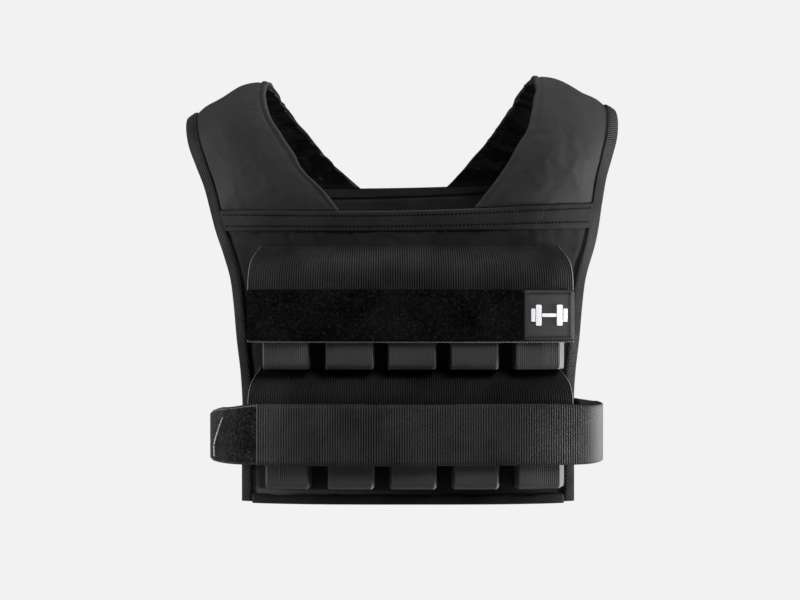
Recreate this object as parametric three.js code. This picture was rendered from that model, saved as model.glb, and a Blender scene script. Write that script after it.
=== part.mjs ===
// A weighted vest, worn form, in millimetres: +X to the viewer's right, the front faces -Y, +Z up.
// The origin lies on the centre plane, level with the underside of the shoulder straps at their crest.
// Every wall is a section of (across, out) points swept over one garment surface, so what lies on a
// panel or a strap follows it, and "out" is always the distance from the wearer's side of the cloth.

import * as THREE from "three";

// The wearer's side of the vest
const chestHalfWidth = 180; // centre plane to the armhole edge at the chest band
const torsoClear = 12; // the plan curve runs this far past the chest's edge
const torsoHalfDepth = 112; // centre of the vest to the inside of a panel
const torsoSquareness = 3.2; // exponent of the plan curve: 2 is an ellipse, more is squarer
const sideMargin = 4.5; // bare panel between a flap's end and the side binding

// Shoulders
const shoulderHalfWidth = 205; // centre plane to the outer edge of a strap at its crest
const frontNeckDrop = 129.5; // crest of the straps to the front neckline
const backNeckDrop = 95.5; // crest of the straps to the back neckline
const crestDrop = 35; // how far the outer edge lies below the inner edge at the crest
const crestFall = 1.35; // exponent of that fall: the outer end falls fastest
const backWidening = 4; // the back neckline's armhole edge stands out past the chest's
const shoulderLift = 4; // the vest hangs with its right shoulder this much up, its left as much down
const shoulderLean = 7; // and leans this far to its left at the crest
const bandCurve = 8; // the chest band's ends are drawn up this far by the straps

// Cloth walls
const gap = 0.3; // clearance between neighbouring pieces
const panelWall = 5; // padded panel
const liningWall = 1.5; // satin under a strap
const strapEdgeWall = 3.2; // strap shell where it is sewn
const strapPadWall = 7.2; // strap shell over its padding
const strapPadRun = 24; // how far from a seam the padding is full
const strapEndTurn = 0.08; // share of a strap's arch over which its end turns level
const bandWall = 2;
const tapeWall = 1.5; // binding tape
const webbingWall = 2;
const pileWall = 1.5;

// Trim
const bandWidth = 18;
const bindingWidth = 9.5;
const bindingRound = 1.2;

// Flaps and pockets
const pocketsInRow = 5;
const pocketPitch = 56.8;
const pocketBase = 44; // width where a pocket is sewn on
const pocketFront = 42; // width of its front face
const pocketLean = 2.2; // the front face sits this far to the vest's left of its base
const pocketDepth = 28.5;
const pocketCorner = 3.5;
const pocketBow = 1.6; // room for a flat pocket under a curved flap
const bandToFlap = 15; // chest band to the sewn edge of the upper flap
const upperPocketDrop = 112; // sewn edge of the upper flap to the bottom of its pockets
const lowerPocketDrop = 108.5;
const upperFlapDrop = 87;
const lowerFlapDrop = 84;
const flapSide = 0.4; // a flap's end past the last pocket's base
const rowShift = 1.5; // flaps and pockets are sewn on this far to the vest's right
const pocketTopShare = 0.17; // a pocket's mouth below its flap's sewn edge, as a share of the flap's drop
const pocketFoot = 5; // shell showing between the lower pockets and the hem

// Belt
const beltWidth = 55;
const beltBelowFlap = 2; // the belt's lower edge below the lower flap's
const beltSideReach = 33.7; // the belt's side past the panel's edge
const beltTailLength = 98; // belt lying under its own free end, along the front
const beltEndInset = 8.5; // the free end stops this far before the flap's end
const beltRise = 14; // length over which the free end climbs onto the tail
const beltSideTuck = 3; // the belt's upper edge dips this far at the sides
const beltPull = 0.9; // how far the belt runs straight on past a flap, as a share of the way to its side
const beltRound = 0.52; // where the belt's side starts to turn in, as a share of the depth at the flap
const pileInset = 1.5; // webbing showing above and below the pile
const pilePastSide = 26; // the pile runs this far past the side, towards the back

// Patch on the upper flap
const patchSize = 39.5; // along the flap's curve, on the panel's own measure
const patchHeight = 46;
const patchWall = 2.6;
const stripHeight = 46;
const stripFoot = 1.5; // webbing showing below the strip and the patch
const patchSpace = 0.8; // between the strip and the patch
const markWidth = 27;
const markHeight = 19;
const markWall = 0.9;

// How finely each piece follows its surface
const panelSteps = 14; // columns of a panel between its bindings
const chestSteps = 6; // rows of a panel from its neckline to its waist
const waistShare = 0.55; // the waist's place on the way from the neckline to the hem
const bandSteps = 2;
const strapSteps = 20;
const flapSteps = 16;
const stripSteps = 15;
const patchSteps = 6;
const faceRows = 3; // rows of the strip and the patch
const beltTailSteps = 6;
const beltCornerSteps = 7;
const beltFrontSteps = 20;

// How the panel narrows below the chest: share of the way down, share of the narrowing
const sideProfile = [
  { down: 0, narrowing: 0 },
  { down: 0.06, narrowing: 0.14 },
  { down: 0.14, narrowing: 0.38 },
  { down: 0.225, narrowing: 0.61 },
  { down: 0.31, narrowing: 0.72 },
  { down: 0.44, narrowing: 0.83 },
  { down: 0.56, narrowing: 0.96 },
  { down: 0.68, narrowing: 1.02 },
  { down: 0.85, narrowing: 1 },
  { down: 1, narrowing: 1 },
];

// A strap's edges along its arch, from the chest band over the crest to the back neckline:
// share of the half turn, then the inner edge as a share of the shoulder's half width and
// the outer edge as a share of the way from the edge of the panel it starts on to the crest
const strapProfile = [
  { turn: 0, inner: 0.297, outer: 0 },
  { turn: 1 / 12, inner: 0.437, outer: 0.2 },
  { turn: 2 / 12, inner: 0.54, outer: 0.5 },
  { turn: 3 / 12, inner: 0.6, outer: 0.77 },
  { turn: 4 / 12, inner: 0.627, outer: 0.92 },
  { turn: 5 / 12, inner: 0.632, outer: 0.99 },
  { turn: 6 / 12, inner: 0.627, outer: 1 },
  { turn: 7 / 12, inner: 0.608, outer: 0.97 },
  { turn: 8 / 12, inner: 0.58, outer: 0.89 },
  { turn: 9 / 12, inner: 0.527, outer: 0.72 },
  { turn: 10 / 12, inner: 0.452, outer: 0.5 },
  { turn: 11 / 12, inner: 0.351, outer: 0.22 },
  { turn: 1, inner: 0.22, outer: 0 },
];

// A flap in side view: share of its drop, share of how far it stands out
const flapProfile = [
  { down: 0, out: 0 },
  { down: 0.07, out: 0.02 },
  { down: 0.12, out: 0.4 },
  { down: 0.2, out: 0.76 },
  { down: 0.3, out: 0.94 },
  { down: 0.43, out: 1 },
  { down: 0.7, out: 1.01 },
  { down: 1, out: 1 },
];

// A pocket in side view: share of its height from its mouth, share of its depth and of its width
const pocketProfile = [
  { down: 0, depth: 0.56, width: 0.95 },
  { down: 0.08, depth: 0.8, width: 1 },
  { down: 0.2, depth: 0.96, width: 1 },
  { down: 0.32, depth: 1, width: 1 },
  { down: 0.9, depth: 1, width: 1 },
  { down: 0.97, depth: 0.9, width: 0.98 },
  { down: 1, depth: 0.68, width: 0.94 },
];

// The dumbbell on the patch: share of half its width, share of half its height
const markProfile = [
  { along: -1, tall: 0.3 },
  { along: -0.9, tall: 0.34 },
  { along: -0.88, tall: 0.66 },
  { along: -0.68, tall: 0.66 },
  { along: -0.64, tall: 1 },
  { along: -0.38, tall: 1 },
  { along: -0.34, tall: 0.17 },
  { along: 0.34, tall: 0.17 },
  { along: 0.38, tall: 1 },
  { along: 0.64, tall: 1 },
  { along: 0.68, tall: 0.66 },
  { along: 0.88, tall: 0.66 },
  { along: 0.9, tall: 0.34 },
  { along: 1, tall: 0.3 },
];

// Heights and reaches that follow from the sizes above
const frontTop = -frontNeckDrop;
const backTop = -backNeckDrop;
const bandBottom = frontTop - bandWidth;
const liftFoot = bandBottom - bandToFlap;
const pocketRows = [{ name: "upper", flapTop: liftFoot, flapDrop: upperFlapDrop, pocketDrop: upperPocketDrop }];
pocketRows.push({
  name: "lower",
  flapTop: pocketRows[0].flapTop - upperPocketDrop - gap,
  flapDrop: lowerFlapDrop,
  pocketDrop: lowerPocketDrop,
});
const lowerRow = pocketRows[1];
const hem = lowerRow.flapTop - lowerRow.pocketDrop - pocketFoot - bindingWidth;
const flapHalf = ((pocketsInRow - 1) / 2) * pocketPitch + pocketBase / 2 + flapSide;
const hemHalfWidth = flapHalf + rowShift + sideMargin + gap + bindingWidth;
const torsoHalfWidth = Math.max(chestHalfWidth, hemHalfWidth) + torsoClear;
const edgeInset = tapeWall + gap;
const pocketSeat = panelWall + gap;
const flapStand = pocketDepth + pocketBow + gap;
const flapFace = pocketSeat + flapStand * Math.max(...flapProfile.map((row) => row.out)) + webbingWall;
const beltSeat = flapFace + gap;
const beltBottom = lowerRow.flapTop - lowerRow.flapDrop - beltBelowFlap;
const beltTop = beltBottom + beltWidth;
const beltHalfWidth = hemHalfWidth + beltSideReach;
const beltStack = webbingWall + gap + pileWall + gap;

const FRONT = -1;
const BACK = 1;
const LEFT = -1;
const RIGHT = 1;

const finishes = {
  shell: { color: 0x2b2b2d, roughness: 0.85 },
  satin: { color: 0x141416, roughness: 0.55 },
  twill: { color: 0x232325, roughness: 0.9 },
  webbing: { color: 0x303032, roughness: 0.8 },
  pile: { color: 0x0c0c0d, roughness: 1 },
  rubber: { color: 0x3f4043, roughness: 0.6 },
  white: { color: 0xe9e9e9, roughness: 0.6 },
};

// A value from a table, by a smooth curve through its rows
function fromTable(table, key, at, column) {
  const last = table.length - 1;
  let i = table.findIndex((row) => row[key] > at) - 1;
  if (i < 0) i = at <= table[0][key] ? 0 : last - 1;
  const [a, b] = [table[i], table[i + 1]];
  const slope = (low, high) => (high[column] - low[column]) / (high[key] - low[key]);
  const before = i > 0 ? slope(table[i - 1], b) : slope(a, b);
  const after = i + 1 < last ? slope(a, table[i + 2]) : slope(a, b);
  const span = b[key] - a[key];
  const t = THREE.MathUtils.clamp((at - a[key]) / span, 0, 1);
  const [t2, t3] = [t * t, t * t * t];
  const ends = (2 * t3 - 3 * t2 + 1) * a[column] + (3 * t2 - 2 * t3) * b[column];
  return ends + (t3 - 2 * t2 + t) * span * before + (t3 - t2) * span * after;
}

// Evenly spaced values from one number to another, both ends included
function steps(from, to, count) {
  return Array.from({ length: count + 1 }, (_, i) => from + ((to - from) * i) / count);
}

// Half the depth of the wearer's side at a distance from the centre plane
function planDepth(x) {
  const share = Math.min(Math.abs(x) / torsoHalfWidth, 0.999);
  return torsoHalfDepth * Math.pow(1 - Math.pow(share, torsoSquareness), 1 / torsoSquareness);
}

// The armhole and side edge of a panel, as a distance from the centre plane
function sideEdge(z) {
  if (z > frontTop) {
    return chestHalfWidth + (backWidening * (z - frontTop)) / Math.max(backTop - frontTop, 1);
  }
  const down = (frontTop - z) / (frontTop - hem);
  return chestHalfWidth - (chestHalfWidth - hemHalfWidth) * fromTable(sideProfile, "down", down, "narrowing");
}

// How the vest hangs above its flaps: the shoulders lean and tilt, and the straps draw up the
// ends of the chest band
function draped(point) {
  const above = THREE.MathUtils.smoothstep(point.z, liftFoot, frontTop);
  const byBand = above * (1 - THREE.MathUtils.smoothstep(point.z, frontTop, -crestDrop));
  const across = point.x / shoulderHalfWidth;
  point.x -= shoulderLean * Math.max(1 - point.z / liftFoot, 0);
  point.z += shoulderLift * above * across + bandCurve * byBand * across * across;
  return point;
}

// A panel's wearer side, by distance from the centre plane and by height
const panelSurface = (facing) => (x, z) => draped(new THREE.Vector3(x, facing * planDepth(x), z));

// A strap's wearer side, by share of its arch and by distance from its outer edge
const strapSurface = (side) => (turn, fromEdge) => {
  const angle = Math.PI * turn;
  const foot = turn < 0.5 ? frontTop : backTop;
  const footEnd = turn < 0.5 ? 0 : 1;
  const footEdge = sideEdge(foot);
  const inner = shoulderHalfWidth * fromTable(strapProfile, "turn", turn, "inner");
  const outerShare = fromTable(strapProfile, "turn", turn, "outer");
  const outer = footEdge + (shoulderHalfWidth - footEdge) * outerShare;
  const share = fromEdge / (outer - inner);
  const footInner = shoulderHalfWidth * fromTable(strapProfile, "turn", footEnd, "inner");
  const footX = footEdge - (footEdge - footInner) * share;
  const crest = -crestDrop * Math.pow(THREE.MathUtils.clamp(1 - share, 0, 1), crestFall);
  return draped(
    new THREE.Vector3(
      side * (outer - fromEdge),
      -planDepth(footX) * Math.cos(angle),
      foot + (crest - foot) * Math.sin(angle),
    ),
  );
};

// A point at a distance out of a strap. Near its ends a strap stands out level, as the panels do
function offStrap(surface, turn, fromEdge, out) {
  const here = surface(turn, fromEdge);
  const away = standOff(surface, turn, fromEdge, 1, 1 / (10 * strapSteps)).sub(here);
  away.z *= THREE.MathUtils.smoothstep(Math.min(turn, 1 - turn), 0, strapEndTurn);
  return here.addScaledVector(away.normalize(), out);
}

// A strap's width at a share of its arch
function strapSpan(turn) {
  const footEdge = sideEdge(turn < 0.5 ? frontTop : backTop);
  const outer =
    footEdge + (shoulderHalfWidth - footEdge) * fromTable(strapProfile, "turn", turn, "outer");
  return outer - shoulderHalfWidth * fromTable(strapProfile, "turn", turn, "inner");
}

// A point by the edge that runs from the front hem up, over the shoulder and down to the back hem.
// Its length goes from 0 to 3, one unit each for the front panel, the strap and the back panel
function byEdge(side, along, fromEdge, out) {
  if (along > 1 && along < 2) return offStrap(strapSurface(side), along - 1, fromEdge, out);
  const front = along <= 1;
  const z = front ? THREE.MathUtils.lerp(hem, frontTop, along) : THREE.MathUtils.lerp(backTop, hem, along - 2);
  return standOff(panelSurface(front ? FRONT : BACK), side * (sideEdge(z) - fromEdge), z, out);
}

// A point at a distance out of a surface, away from the wearer
function standOff(surface, u, v, out, stepU = 0.5, stepV = 0.5) {
  const here = surface(u, v);
  const alongU = surface(u + stepU, v).sub(surface(u - stepU, v));
  const alongV = surface(u, v + stepV).sub(surface(u, v - stepV));
  const normal = alongU.cross(alongV).normalize();
  const away = new THREE.Vector3(0, here.y, Math.max(here.z - frontTop, 0));
  return here.addScaledVector(normal.dot(away) < 0 ? normal.negate() : normal, out);
}

// The triangles that close a section, their corners in the section's order. A sheet's are laid
// between its two faces, because its section may bend; any other section is flat
function capOf(section, isSheet) {
  if (!isSheet) {
    const contour = section.map(([across, out]) => new THREE.Vector2(across, out));
    return THREE.ShapeUtils.triangulateShape(contour, []).map((face) => [...face].sort((p, q) => p - q));
  }
  const last = section.length - 1;
  const pairs = Array.from({ length: (last - 1) / 2 }, (_, j) => [
    [j, j + 1, last - j - 1],
    [j, last - j - 1, last - j],
  ]);
  return pairs.flat();
}

// A closed solid: sections of (across, out) points, one for each station, placed and joined
function sweep(stations, sectionAt, place, isSheet = true) {
  const sections = stations.map(sectionAt);
  const size = sections[0].length;
  const corners = sections.flatMap((section, i) =>
    section.map(([across, out]) => place(stations[i], across, out)),
  );
  const faces = capOf(sections[0], isSheet).map((face) => [...face].reverse());
  for (let i = 0; i + 1 < sections.length; i += 1) {
    for (let j = 0; j < size; j += 1) {
      const [a, b] = [i * size + j, i * size + ((j + 1) % size)];
      const [c, d] = [b + size, a + size];
      // The shorter diagonal, so that layers over one another bend alike
      if (corners[a].distanceTo(corners[c]) < corners[b].distanceTo(corners[d])) faces.push([a, b, c], [a, c, d]);
      else faces.push([a, b, d], [b, c, d]);
    }
  }
  const end = (sections.length - 1) * size;
  faces.push(...capOf(sections[sections.length - 1], isSheet).map((face) => face.map((corner) => end + corner)));
  return solidOf(corners, faces);
}

// An indexed geometry whose faces point out
function solidOf(corners, faces) {
  const volume = faces.reduce(
    (sum, [a, b, c]) => sum + corners[a].dot(new THREE.Vector3().crossVectors(corners[b], corners[c])),
    0,
  );
  const geometry = new THREE.BufferGeometry().setFromPoints(corners);
  geometry.setIndex((volume < 0 ? faces.map((face) => [...face].reverse()) : faces).flat());
  geometry.computeVertexNormals();
  return geometry;
}

// A sheet's section: its inner face out along the row and its outer face back
function sheetSection(row, low, high) {
  return [...row.map((v) => [v, low(v)]), ...[...row].reverse().map((v) => [v, high(v)])];
}

const vest = new THREE.Group();

function add(name, geometry, finish) {
  const mesh = new THREE.Mesh(geometry, new THREE.MeshStandardMaterial({ metalness: 0, ...finishes[finish] }));
  mesh.name = name;
  vest.add(mesh);
}

// A panel's columns: even ones between the side bindings, at -1 to 1, and its two edges, at -2 and 2
const columns = steps(-1, 1, panelSteps);
const panelColumns = [-2, ...columns, 2];

function columnX(column, z) {
  const reach = Math.abs(column) > 1 ? edgeInset : bindingWidth + gap;
  return THREE.MathUtils.clamp(column, -1, 1) * (sideEdge(z) - reach);
}

// A panel's rows, from its top edge down to the height given
function panelRows(top, foot) {
  const waist = frontTop - (frontTop - hem) * waistShare;
  const band = steps(top, top - bandWidth, bandSteps);
  const body = [...steps(frontTop, waist, chestSteps), (waist + hem) / 2, hem + bindingWidth, foot];
  return [...band, ...body.filter((z) => z < top - bandWidth - gap)];
}

function sheetOnPanel(facing, rows, across, low, high) {
  const surface = panelSurface(facing);
  return sweep(
    rows,
    () => sheetSection(across, () => low, () => high),
    (z, column, out) => standOff(surface, columnX(column, z), z, out),
  );
}

function buildPanels() {
  const bandSeat = panelWall + gap;
  for (const [facing, side, band, top] of [
    [FRONT, "front", "chest_band", frontTop],
    [BACK, "back", "back_band", backTop],
  ]) {
    const rows = panelRows(top, hem + edgeInset);
    add(`${side}_panel`, sheetOnPanel(facing, rows, panelColumns, 0, panelWall), "shell");
    const bandRows = steps(top, top - bandWidth, bandSteps);
    add(band, sheetOnPanel(facing, bandRows, columns, bandSeat, bandSeat + bandWall), "shell");
  }
}

// Tape folded round an edge: its section, by distance from the edge
function tapeSection() {
  const inside = [-gap, panelWall + gap];
  const outside = [-gap - tapeWall, panelWall + gap + tapeWall];
  return [
    [bindingRound, outside[0]],
    [bindingWidth, outside[0]],
    [bindingWidth, inside[0]],
    [tapeWall, inside[0]],
    [tapeWall, inside[1]],
    [bindingWidth, inside[1]],
    [bindingWidth, outside[1]],
    [bindingRound, outside[1]],
    [0, outside[1] - bindingRound],
    [0, outside[0] + bindingRound],
  ];
}

// Where a strap's sections stand along its arch, its ends a little past the panels' top edges
const strapStart = gap / (frontNeckDrop + torsoHalfDepth);
const strapTurns = steps(strapStart, 1 - strapStart, strapSteps);

function buildBindings() {
  const front = panelRows(frontTop, hem).map((z) => (z - hem) / (frontTop - hem));
  const back = panelRows(backTop, hem).map((z) => 2 + (backTop - z) / (backTop - hem));
  const stations = [...front.reverse(), ...strapTurns.slice(1, -1).map((turn) => 1 + turn), ...back];
  for (const [side, name] of [
    [LEFT, "left"],
    [RIGHT, "right"],
  ]) {
    const place = (along, fromEdge, out) => byEdge(side, along, fromEdge, out);
    add(`binding_${name}`, sweep(stations, tapeSection, place, false), "twill");
  }
  for (const [facing, name] of [
    [FRONT, "hem_front"],
    [BACK, "hem_back"],
  ]) {
    const surface = panelSurface(facing);
    const place = (column, fromEdge, out) => standOff(surface, columnX(column, hem), hem + fromEdge, out);
    add(name, sweep(columns, tapeSection, place, false), "twill");
  }
}

// A strap's columns, as a distance from its outer edge: 0 to 1 lie in the binding, 1 to 2 past it
const strapColumns = [0, 1, 1.16, 1.34, 1.55, 1.76, 1.92, 2];

function strapFromEdge(turn, column) {
  const rim = bindingWidth + gap;
  if (column <= 1) return THREE.MathUtils.lerp(edgeInset, rim, column);
  return THREE.MathUtils.lerp(rim, strapSpan(turn), column - 1);
}

// The padding of a strap: thin where it is sewn, full further in
function padWall(turn, fromEdge) {
  const fromEnd = Math.min(turn, 1 - turn) * Math.PI * torsoHalfDepth;
  const fromSeam = Math.min(fromEdge - bindingWidth, strapSpan(turn) - fromEdge, fromEnd);
  const full = THREE.MathUtils.smoothstep(fromSeam, 0, strapPadRun);
  return strapEdgeWall + (strapPadWall - strapEdgeWall) * full;
}

function buildStraps() {
  const seat = liningWall + gap;
  for (const [side, name] of [
    [LEFT, "left"],
    [RIGHT, "right"],
  ]) {
    const surface = strapSurface(side);
    const place = (turn, column, out) => offStrap(surface, turn, strapFromEdge(turn, column), out);
    const lining = () => sheetSection(strapColumns, () => 0, () => liningWall);
    add(`strap_lining_${name}`, sweep(strapTurns, lining, place), "satin");
    const shell = (turn) =>
      sheetSection(strapColumns, () => seat, (column) => seat + padWall(turn, strapFromEdge(turn, column)));
    add(`shoulder_strap_${name}`, sweep(strapTurns, shell, place), "shell");
  }
}

// A flap's side view as points of (height, out), thickened by its webbing
function flapSection(row) {
  const inner = flapProfile.map(({ down, out }) => [row.flapTop - down * row.flapDrop, pocketSeat + out * flapStand]);
  const outer = inner.map(([z, out], i) => {
    const [before, after] = [inner[Math.max(i - 1, 0)], inner[Math.min(i + 1, inner.length - 1)]];
    const run = new THREE.Vector2(after[0] - before[0], after[1] - before[1]).normalize();
    return [z + run.y * webbingWall, out - run.x * webbingWall];
  });
  return [...inner, ...outer.reverse()];
}

const flapEnds = { left: rowShift - flapHalf, right: rowShift + flapHalf };
const flapColumns = steps(flapEnds.left, flapEnds.right, flapSteps);

function buildFlaps() {
  for (const [facing, side] of [
    [FRONT, "front"],
    [BACK, "back"],
  ]) {
    const surface = panelSurface(facing);
    for (const row of pocketRows) {
      const geometry = sweep(
        flapColumns,
        () => flapSection(row),
        (x, z, out) => standOff(surface, x, z, out),
      );
      add(`flap_${side}_${row.name}`, geometry, "webbing");
    }
  }
}

// A pocket's plan: sewn edge, gussets and a front face with cut corners
function pocketSection({ depth, width }) {
  const [base, front] = [(pocketBase / 2) * width, (pocketFront / 2) * width];
  const face = pocketDepth * depth;
  const lean = -pocketLean * depth;
  return [
    [-base, 0],
    [base, 0],
    [front + lean, face - pocketCorner],
    [front + lean - pocketCorner, face],
    [-front + lean + pocketCorner, face],
    [-front + lean, face - pocketCorner],
  ];
}

function buildPockets() {
  for (const [facing, side] of [
    [FRONT, "front"],
    [BACK, "back"],
  ]) {
    const surface = panelSurface(facing);
    for (const row of pocketRows) {
      const mouth = row.flapTop - pocketTopShare * row.flapDrop;
      const height = mouth - (row.flapTop - row.pocketDrop);
      for (let n = 0; n < pocketsInRow; n += 1) {
        const x = rowShift + (n - (pocketsInRow - 1) / 2) * pocketPitch;
        const seat = standOff(surface, x, mouth - height, pocketSeat);
        const normal = standOff(surface, x, mouth - height, pocketSeat + 1).sub(seat);
        const across = new THREE.Vector3(-facing * normal.y, facing * normal.x, 0).normalize();
        const geometry = sweep(pocketProfile, pocketSection, ({ down }, t, out) =>
          seat
            .clone()
            .setZ(mouth - down * height)
            .addScaledVector(across, t)
            .addScaledVector(normal, out),
          false,
        );
        add(`pocket_${side}_${row.name}_${n + 1}`, geometry, "webbing");
      }
    }
  }
}

// The strip of pile and the patch lie on the upper flap's face
function onFlapFace(x, z, out) {
  const row = pocketRows[0];
  const down = (row.flapTop - z) / row.flapDrop;
  const face = pocketSeat + flapStand * fromTable(flapProfile, "down", down, "out") + webbingWall;
  return standOff(panelSurface(FRONT), x, z, face + gap + out);
}

function buildFlapFace() {
  const row = pocketRows[0];
  const foot = row.flapTop - row.flapDrop + stripFoot;
  const patchStart = flapEnds.right - patchSize;
  const strip = sweep(
    steps(flapEnds.left, patchStart - patchSpace, stripSteps),
    () => sheetSection(steps(foot, foot + stripHeight, faceRows), () => 0, () => pileWall),
    (x, z, out) => onFlapFace(x, z, out),
  );
  add("loop_strip", strip, "pile");
  const patch = sweep(
    steps(patchStart, flapEnds.right, patchSteps),
    () => sheetSection(steps(foot, foot + patchHeight, faceRows), () => 0, () => patchWall),
    (x, z, out) => onFlapFace(x, z, out),
  );
  add("patch", patch, "rubber");
  const middle = { x: patchStart + patchSize / 2, z: foot + patchHeight / 2 };
  const seat = patchWall + gap;
  const mark = sweep(
    markProfile,
    ({ tall }) => {
      const half = (tall * markHeight) / 2;
      return sheetSection([-half, half], () => seat, () => seat + markWall);
    },
    ({ along }, up, out) => onFlapFace(middle.x + (along * markWidth) / 2, middle.z + up, out),
  );
  add("patch_mark", mark, "white");
}

// The belt's line in plan, on its wearer side: from the end of its tail round by the left side, the
// back and the right side to its free end, which lies over the tail
function beltLine() {
  const onFlap = (facing) => (x) => {
    const point = standOff(panelSurface(facing), x, beltBottom, beltSeat);
    return new THREE.Vector2(point.x, point.y);
  };
  const corner = (side, facing, fromFlap) => {
    const flapEnd = rowShift + side * flapHalf;
    const end = onFlap(facing)(flapEnd);
    const before = onFlap(facing)(flapEnd - side);
    const pull = end.clone().sub(before).normalize();
    const reach = (beltHalfWidth - Math.abs(end.x)) * beltPull;
    const curve = new THREE.CubicBezierCurve(
      end,
      end.clone().addScaledVector(pull, reach),
      new THREE.Vector2(side * beltHalfWidth, end.y * beltRound),
      new THREE.Vector2(side * beltHalfWidth, 0),
    );
    const points = curve.getPoints(beltCornerSteps);
    return fromFlap ? points : points.reverse();
  };
  const tailEnd = flapEnds.left + beltTailLength;
  const freeEnd = flapEnds.left + beltEndInset;
  const frontStep = (flapEnds.right - freeEnd) / beltFrontSteps;
  const runs = [
    { points: steps(tailEnd, flapEnds.left, beltTailSteps).map(onFlap(FRONT)), part: "tail" },
    { points: corner(LEFT, FRONT, true), part: "tail" },
    { points: corner(LEFT, BACK, false), part: "round" },
    { points: flapColumns.map(onFlap(BACK)), part: "round" },
    { points: corner(RIGHT, BACK, true), part: "round" },
    { points: corner(RIGHT, FRONT, false), part: "round" },
    { points: steps(flapEnds.right, freeEnd, beltFrontSteps).map(onFlap(FRONT)), part: "over" },
  ];
  const line = [];
  for (const { points, part } of runs) {
    for (const point of line.length ? points.slice(1) : points) line.push({ point, part });
  }
  return line.map((station, i) => {
    const before = line[Math.max(i - 1, 0)].point;
    const after = line[Math.min(i + 1, line.length - 1)].point;
    const run = after.clone().sub(before).normalize();
    const past = station.part === "over" ? tailEnd + frontStep + beltRise - station.point.x : 0;
    const level = beltStack * THREE.MathUtils.smoothstep(past, 0, beltRise);
    const side = THREE.MathUtils.smoothstep(Math.abs(station.point.x), flapHalf, beltHalfWidth);
    return { ...station, out: new THREE.Vector2(run.y, -run.x), level, side };
  });
}

function buildBelt() {
  const line = beltLine();
  const place = ({ point, out: normal, level }, z, out) =>
    new THREE.Vector3(point.x, point.y, z).addScaledVector(new THREE.Vector3(normal.x, normal.y, 0), -(level + out));
  const span = ({ side }, inset) => [beltBottom + inset, beltTop - inset - beltSideTuck * side];
  const belt = sweep(line, (station) => sheetSection(span(station, 0), () => 0, () => webbingWall), place);
  add("belt", belt, "webbing");
  const pileEnd = line.findIndex(({ point, part }) => part === "round" && point.y > pilePastSide);
  const pileSeat = webbingWall + gap;
  const pile = sweep(
    line.slice(0, pileEnd + 1),
    (station) => sheetSection(span(station, pileInset), () => pileSeat, () => pileSeat + pileWall),
    place,
  );
  add("belt_pile", pile, "pile");
}

buildPanels();
buildBindings();
buildStraps();
buildFlaps();
buildPockets();
buildFlapFace();
buildBelt();

export default vest;
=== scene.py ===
"""A weighted training vest, dressed: padded cloth, ribbed webbing, twill tape and loop pile.

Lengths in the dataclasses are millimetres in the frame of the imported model: +X to the right of
someone who looks at the front, the front faces -Y, +Z up. Meshes are written in metres.
"""

import logging
import math
from dataclasses import dataclass
from enum import Enum
from functools import partial
from typing import Callable, Optional, Sequence

import bpy
import numpy as np
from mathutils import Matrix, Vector


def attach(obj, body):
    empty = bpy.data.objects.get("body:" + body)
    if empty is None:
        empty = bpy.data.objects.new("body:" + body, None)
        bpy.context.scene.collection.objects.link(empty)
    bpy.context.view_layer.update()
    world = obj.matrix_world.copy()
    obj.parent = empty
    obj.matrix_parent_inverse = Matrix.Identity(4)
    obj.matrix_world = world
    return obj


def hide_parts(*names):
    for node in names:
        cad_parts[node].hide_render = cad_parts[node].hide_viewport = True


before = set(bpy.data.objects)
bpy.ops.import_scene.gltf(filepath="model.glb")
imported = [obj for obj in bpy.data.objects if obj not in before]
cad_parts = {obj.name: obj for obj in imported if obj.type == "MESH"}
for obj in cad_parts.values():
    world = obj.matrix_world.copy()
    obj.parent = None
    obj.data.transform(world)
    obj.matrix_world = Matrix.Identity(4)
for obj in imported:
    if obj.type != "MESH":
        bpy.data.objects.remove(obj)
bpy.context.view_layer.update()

log = logging.getLogger("vest")
Array = np.ndarray
MM = 0.001
# Columns of corners for each rib of woven webbing
RIB_STEPS = 4
# The two rows of pockets and flaps, as the names of their pieces say it
ROWS = ("upper", "lower")


class Place(Enum):
    """A place on the vest, whose name is a part of the names of its pieces."""

    @property
    def word(self) -> str:
        """The name in small letters."""
        return self.name.lower()


class Facing(Place):
    """Which panel of the vest a piece lies on."""

    FRONT = -1
    BACK = 1


class Side(Place):
    """Which side of the centre plane a piece lies on."""

    LEFT = -1
    RIGHT = 1


# Tables of the pattern


# Share of the way down a panel, share of its narrowing
SIDE_TABLE = (
    (0, 0), (0.06, 0.14), (0.14, 0.38), (0.225, 0.61), (0.31, 0.72),
    (0.44, 0.83), (0.56, 0.96), (0.68, 1.02), (0.85, 1), (1, 1),
)
# Share of a strap's arch, inner edge as a share of the shoulder's half width
STRAP_INNER_TABLE = (
    (0, 0.297), (1 / 12, 0.437), (2 / 12, 0.54), (3 / 12, 0.6), (4 / 12, 0.627),
    (5 / 12, 0.632), (6 / 12, 0.627), (7 / 12, 0.608), (8 / 12, 0.58), (9 / 12, 0.527),
    (10 / 12, 0.452), (11 / 12, 0.351), (1, 0.22),
)
# Share of a strap's arch, outer edge as a share of the way from the panel's edge to the crest
STRAP_OUTER_TABLE = (
    (0, 0), (1 / 12, 0.2), (2 / 12, 0.5), (3 / 12, 0.77), (4 / 12, 0.92),
    (5 / 12, 0.99), (6 / 12, 1), (7 / 12, 0.97), (8 / 12, 0.89), (9 / 12, 0.72),
    (10 / 12, 0.5), (11 / 12, 0.22), (1, 0),
)
# A flap in side view: share of its drop, share of how far it stands out
FLAP_TABLE = ((0, 0), (0.03, 0.1), (0.08, 0.4), (0.16, 0.75), (0.27, 0.94), (0.43, 1), (0.7, 1.01), (1, 1))
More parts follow.
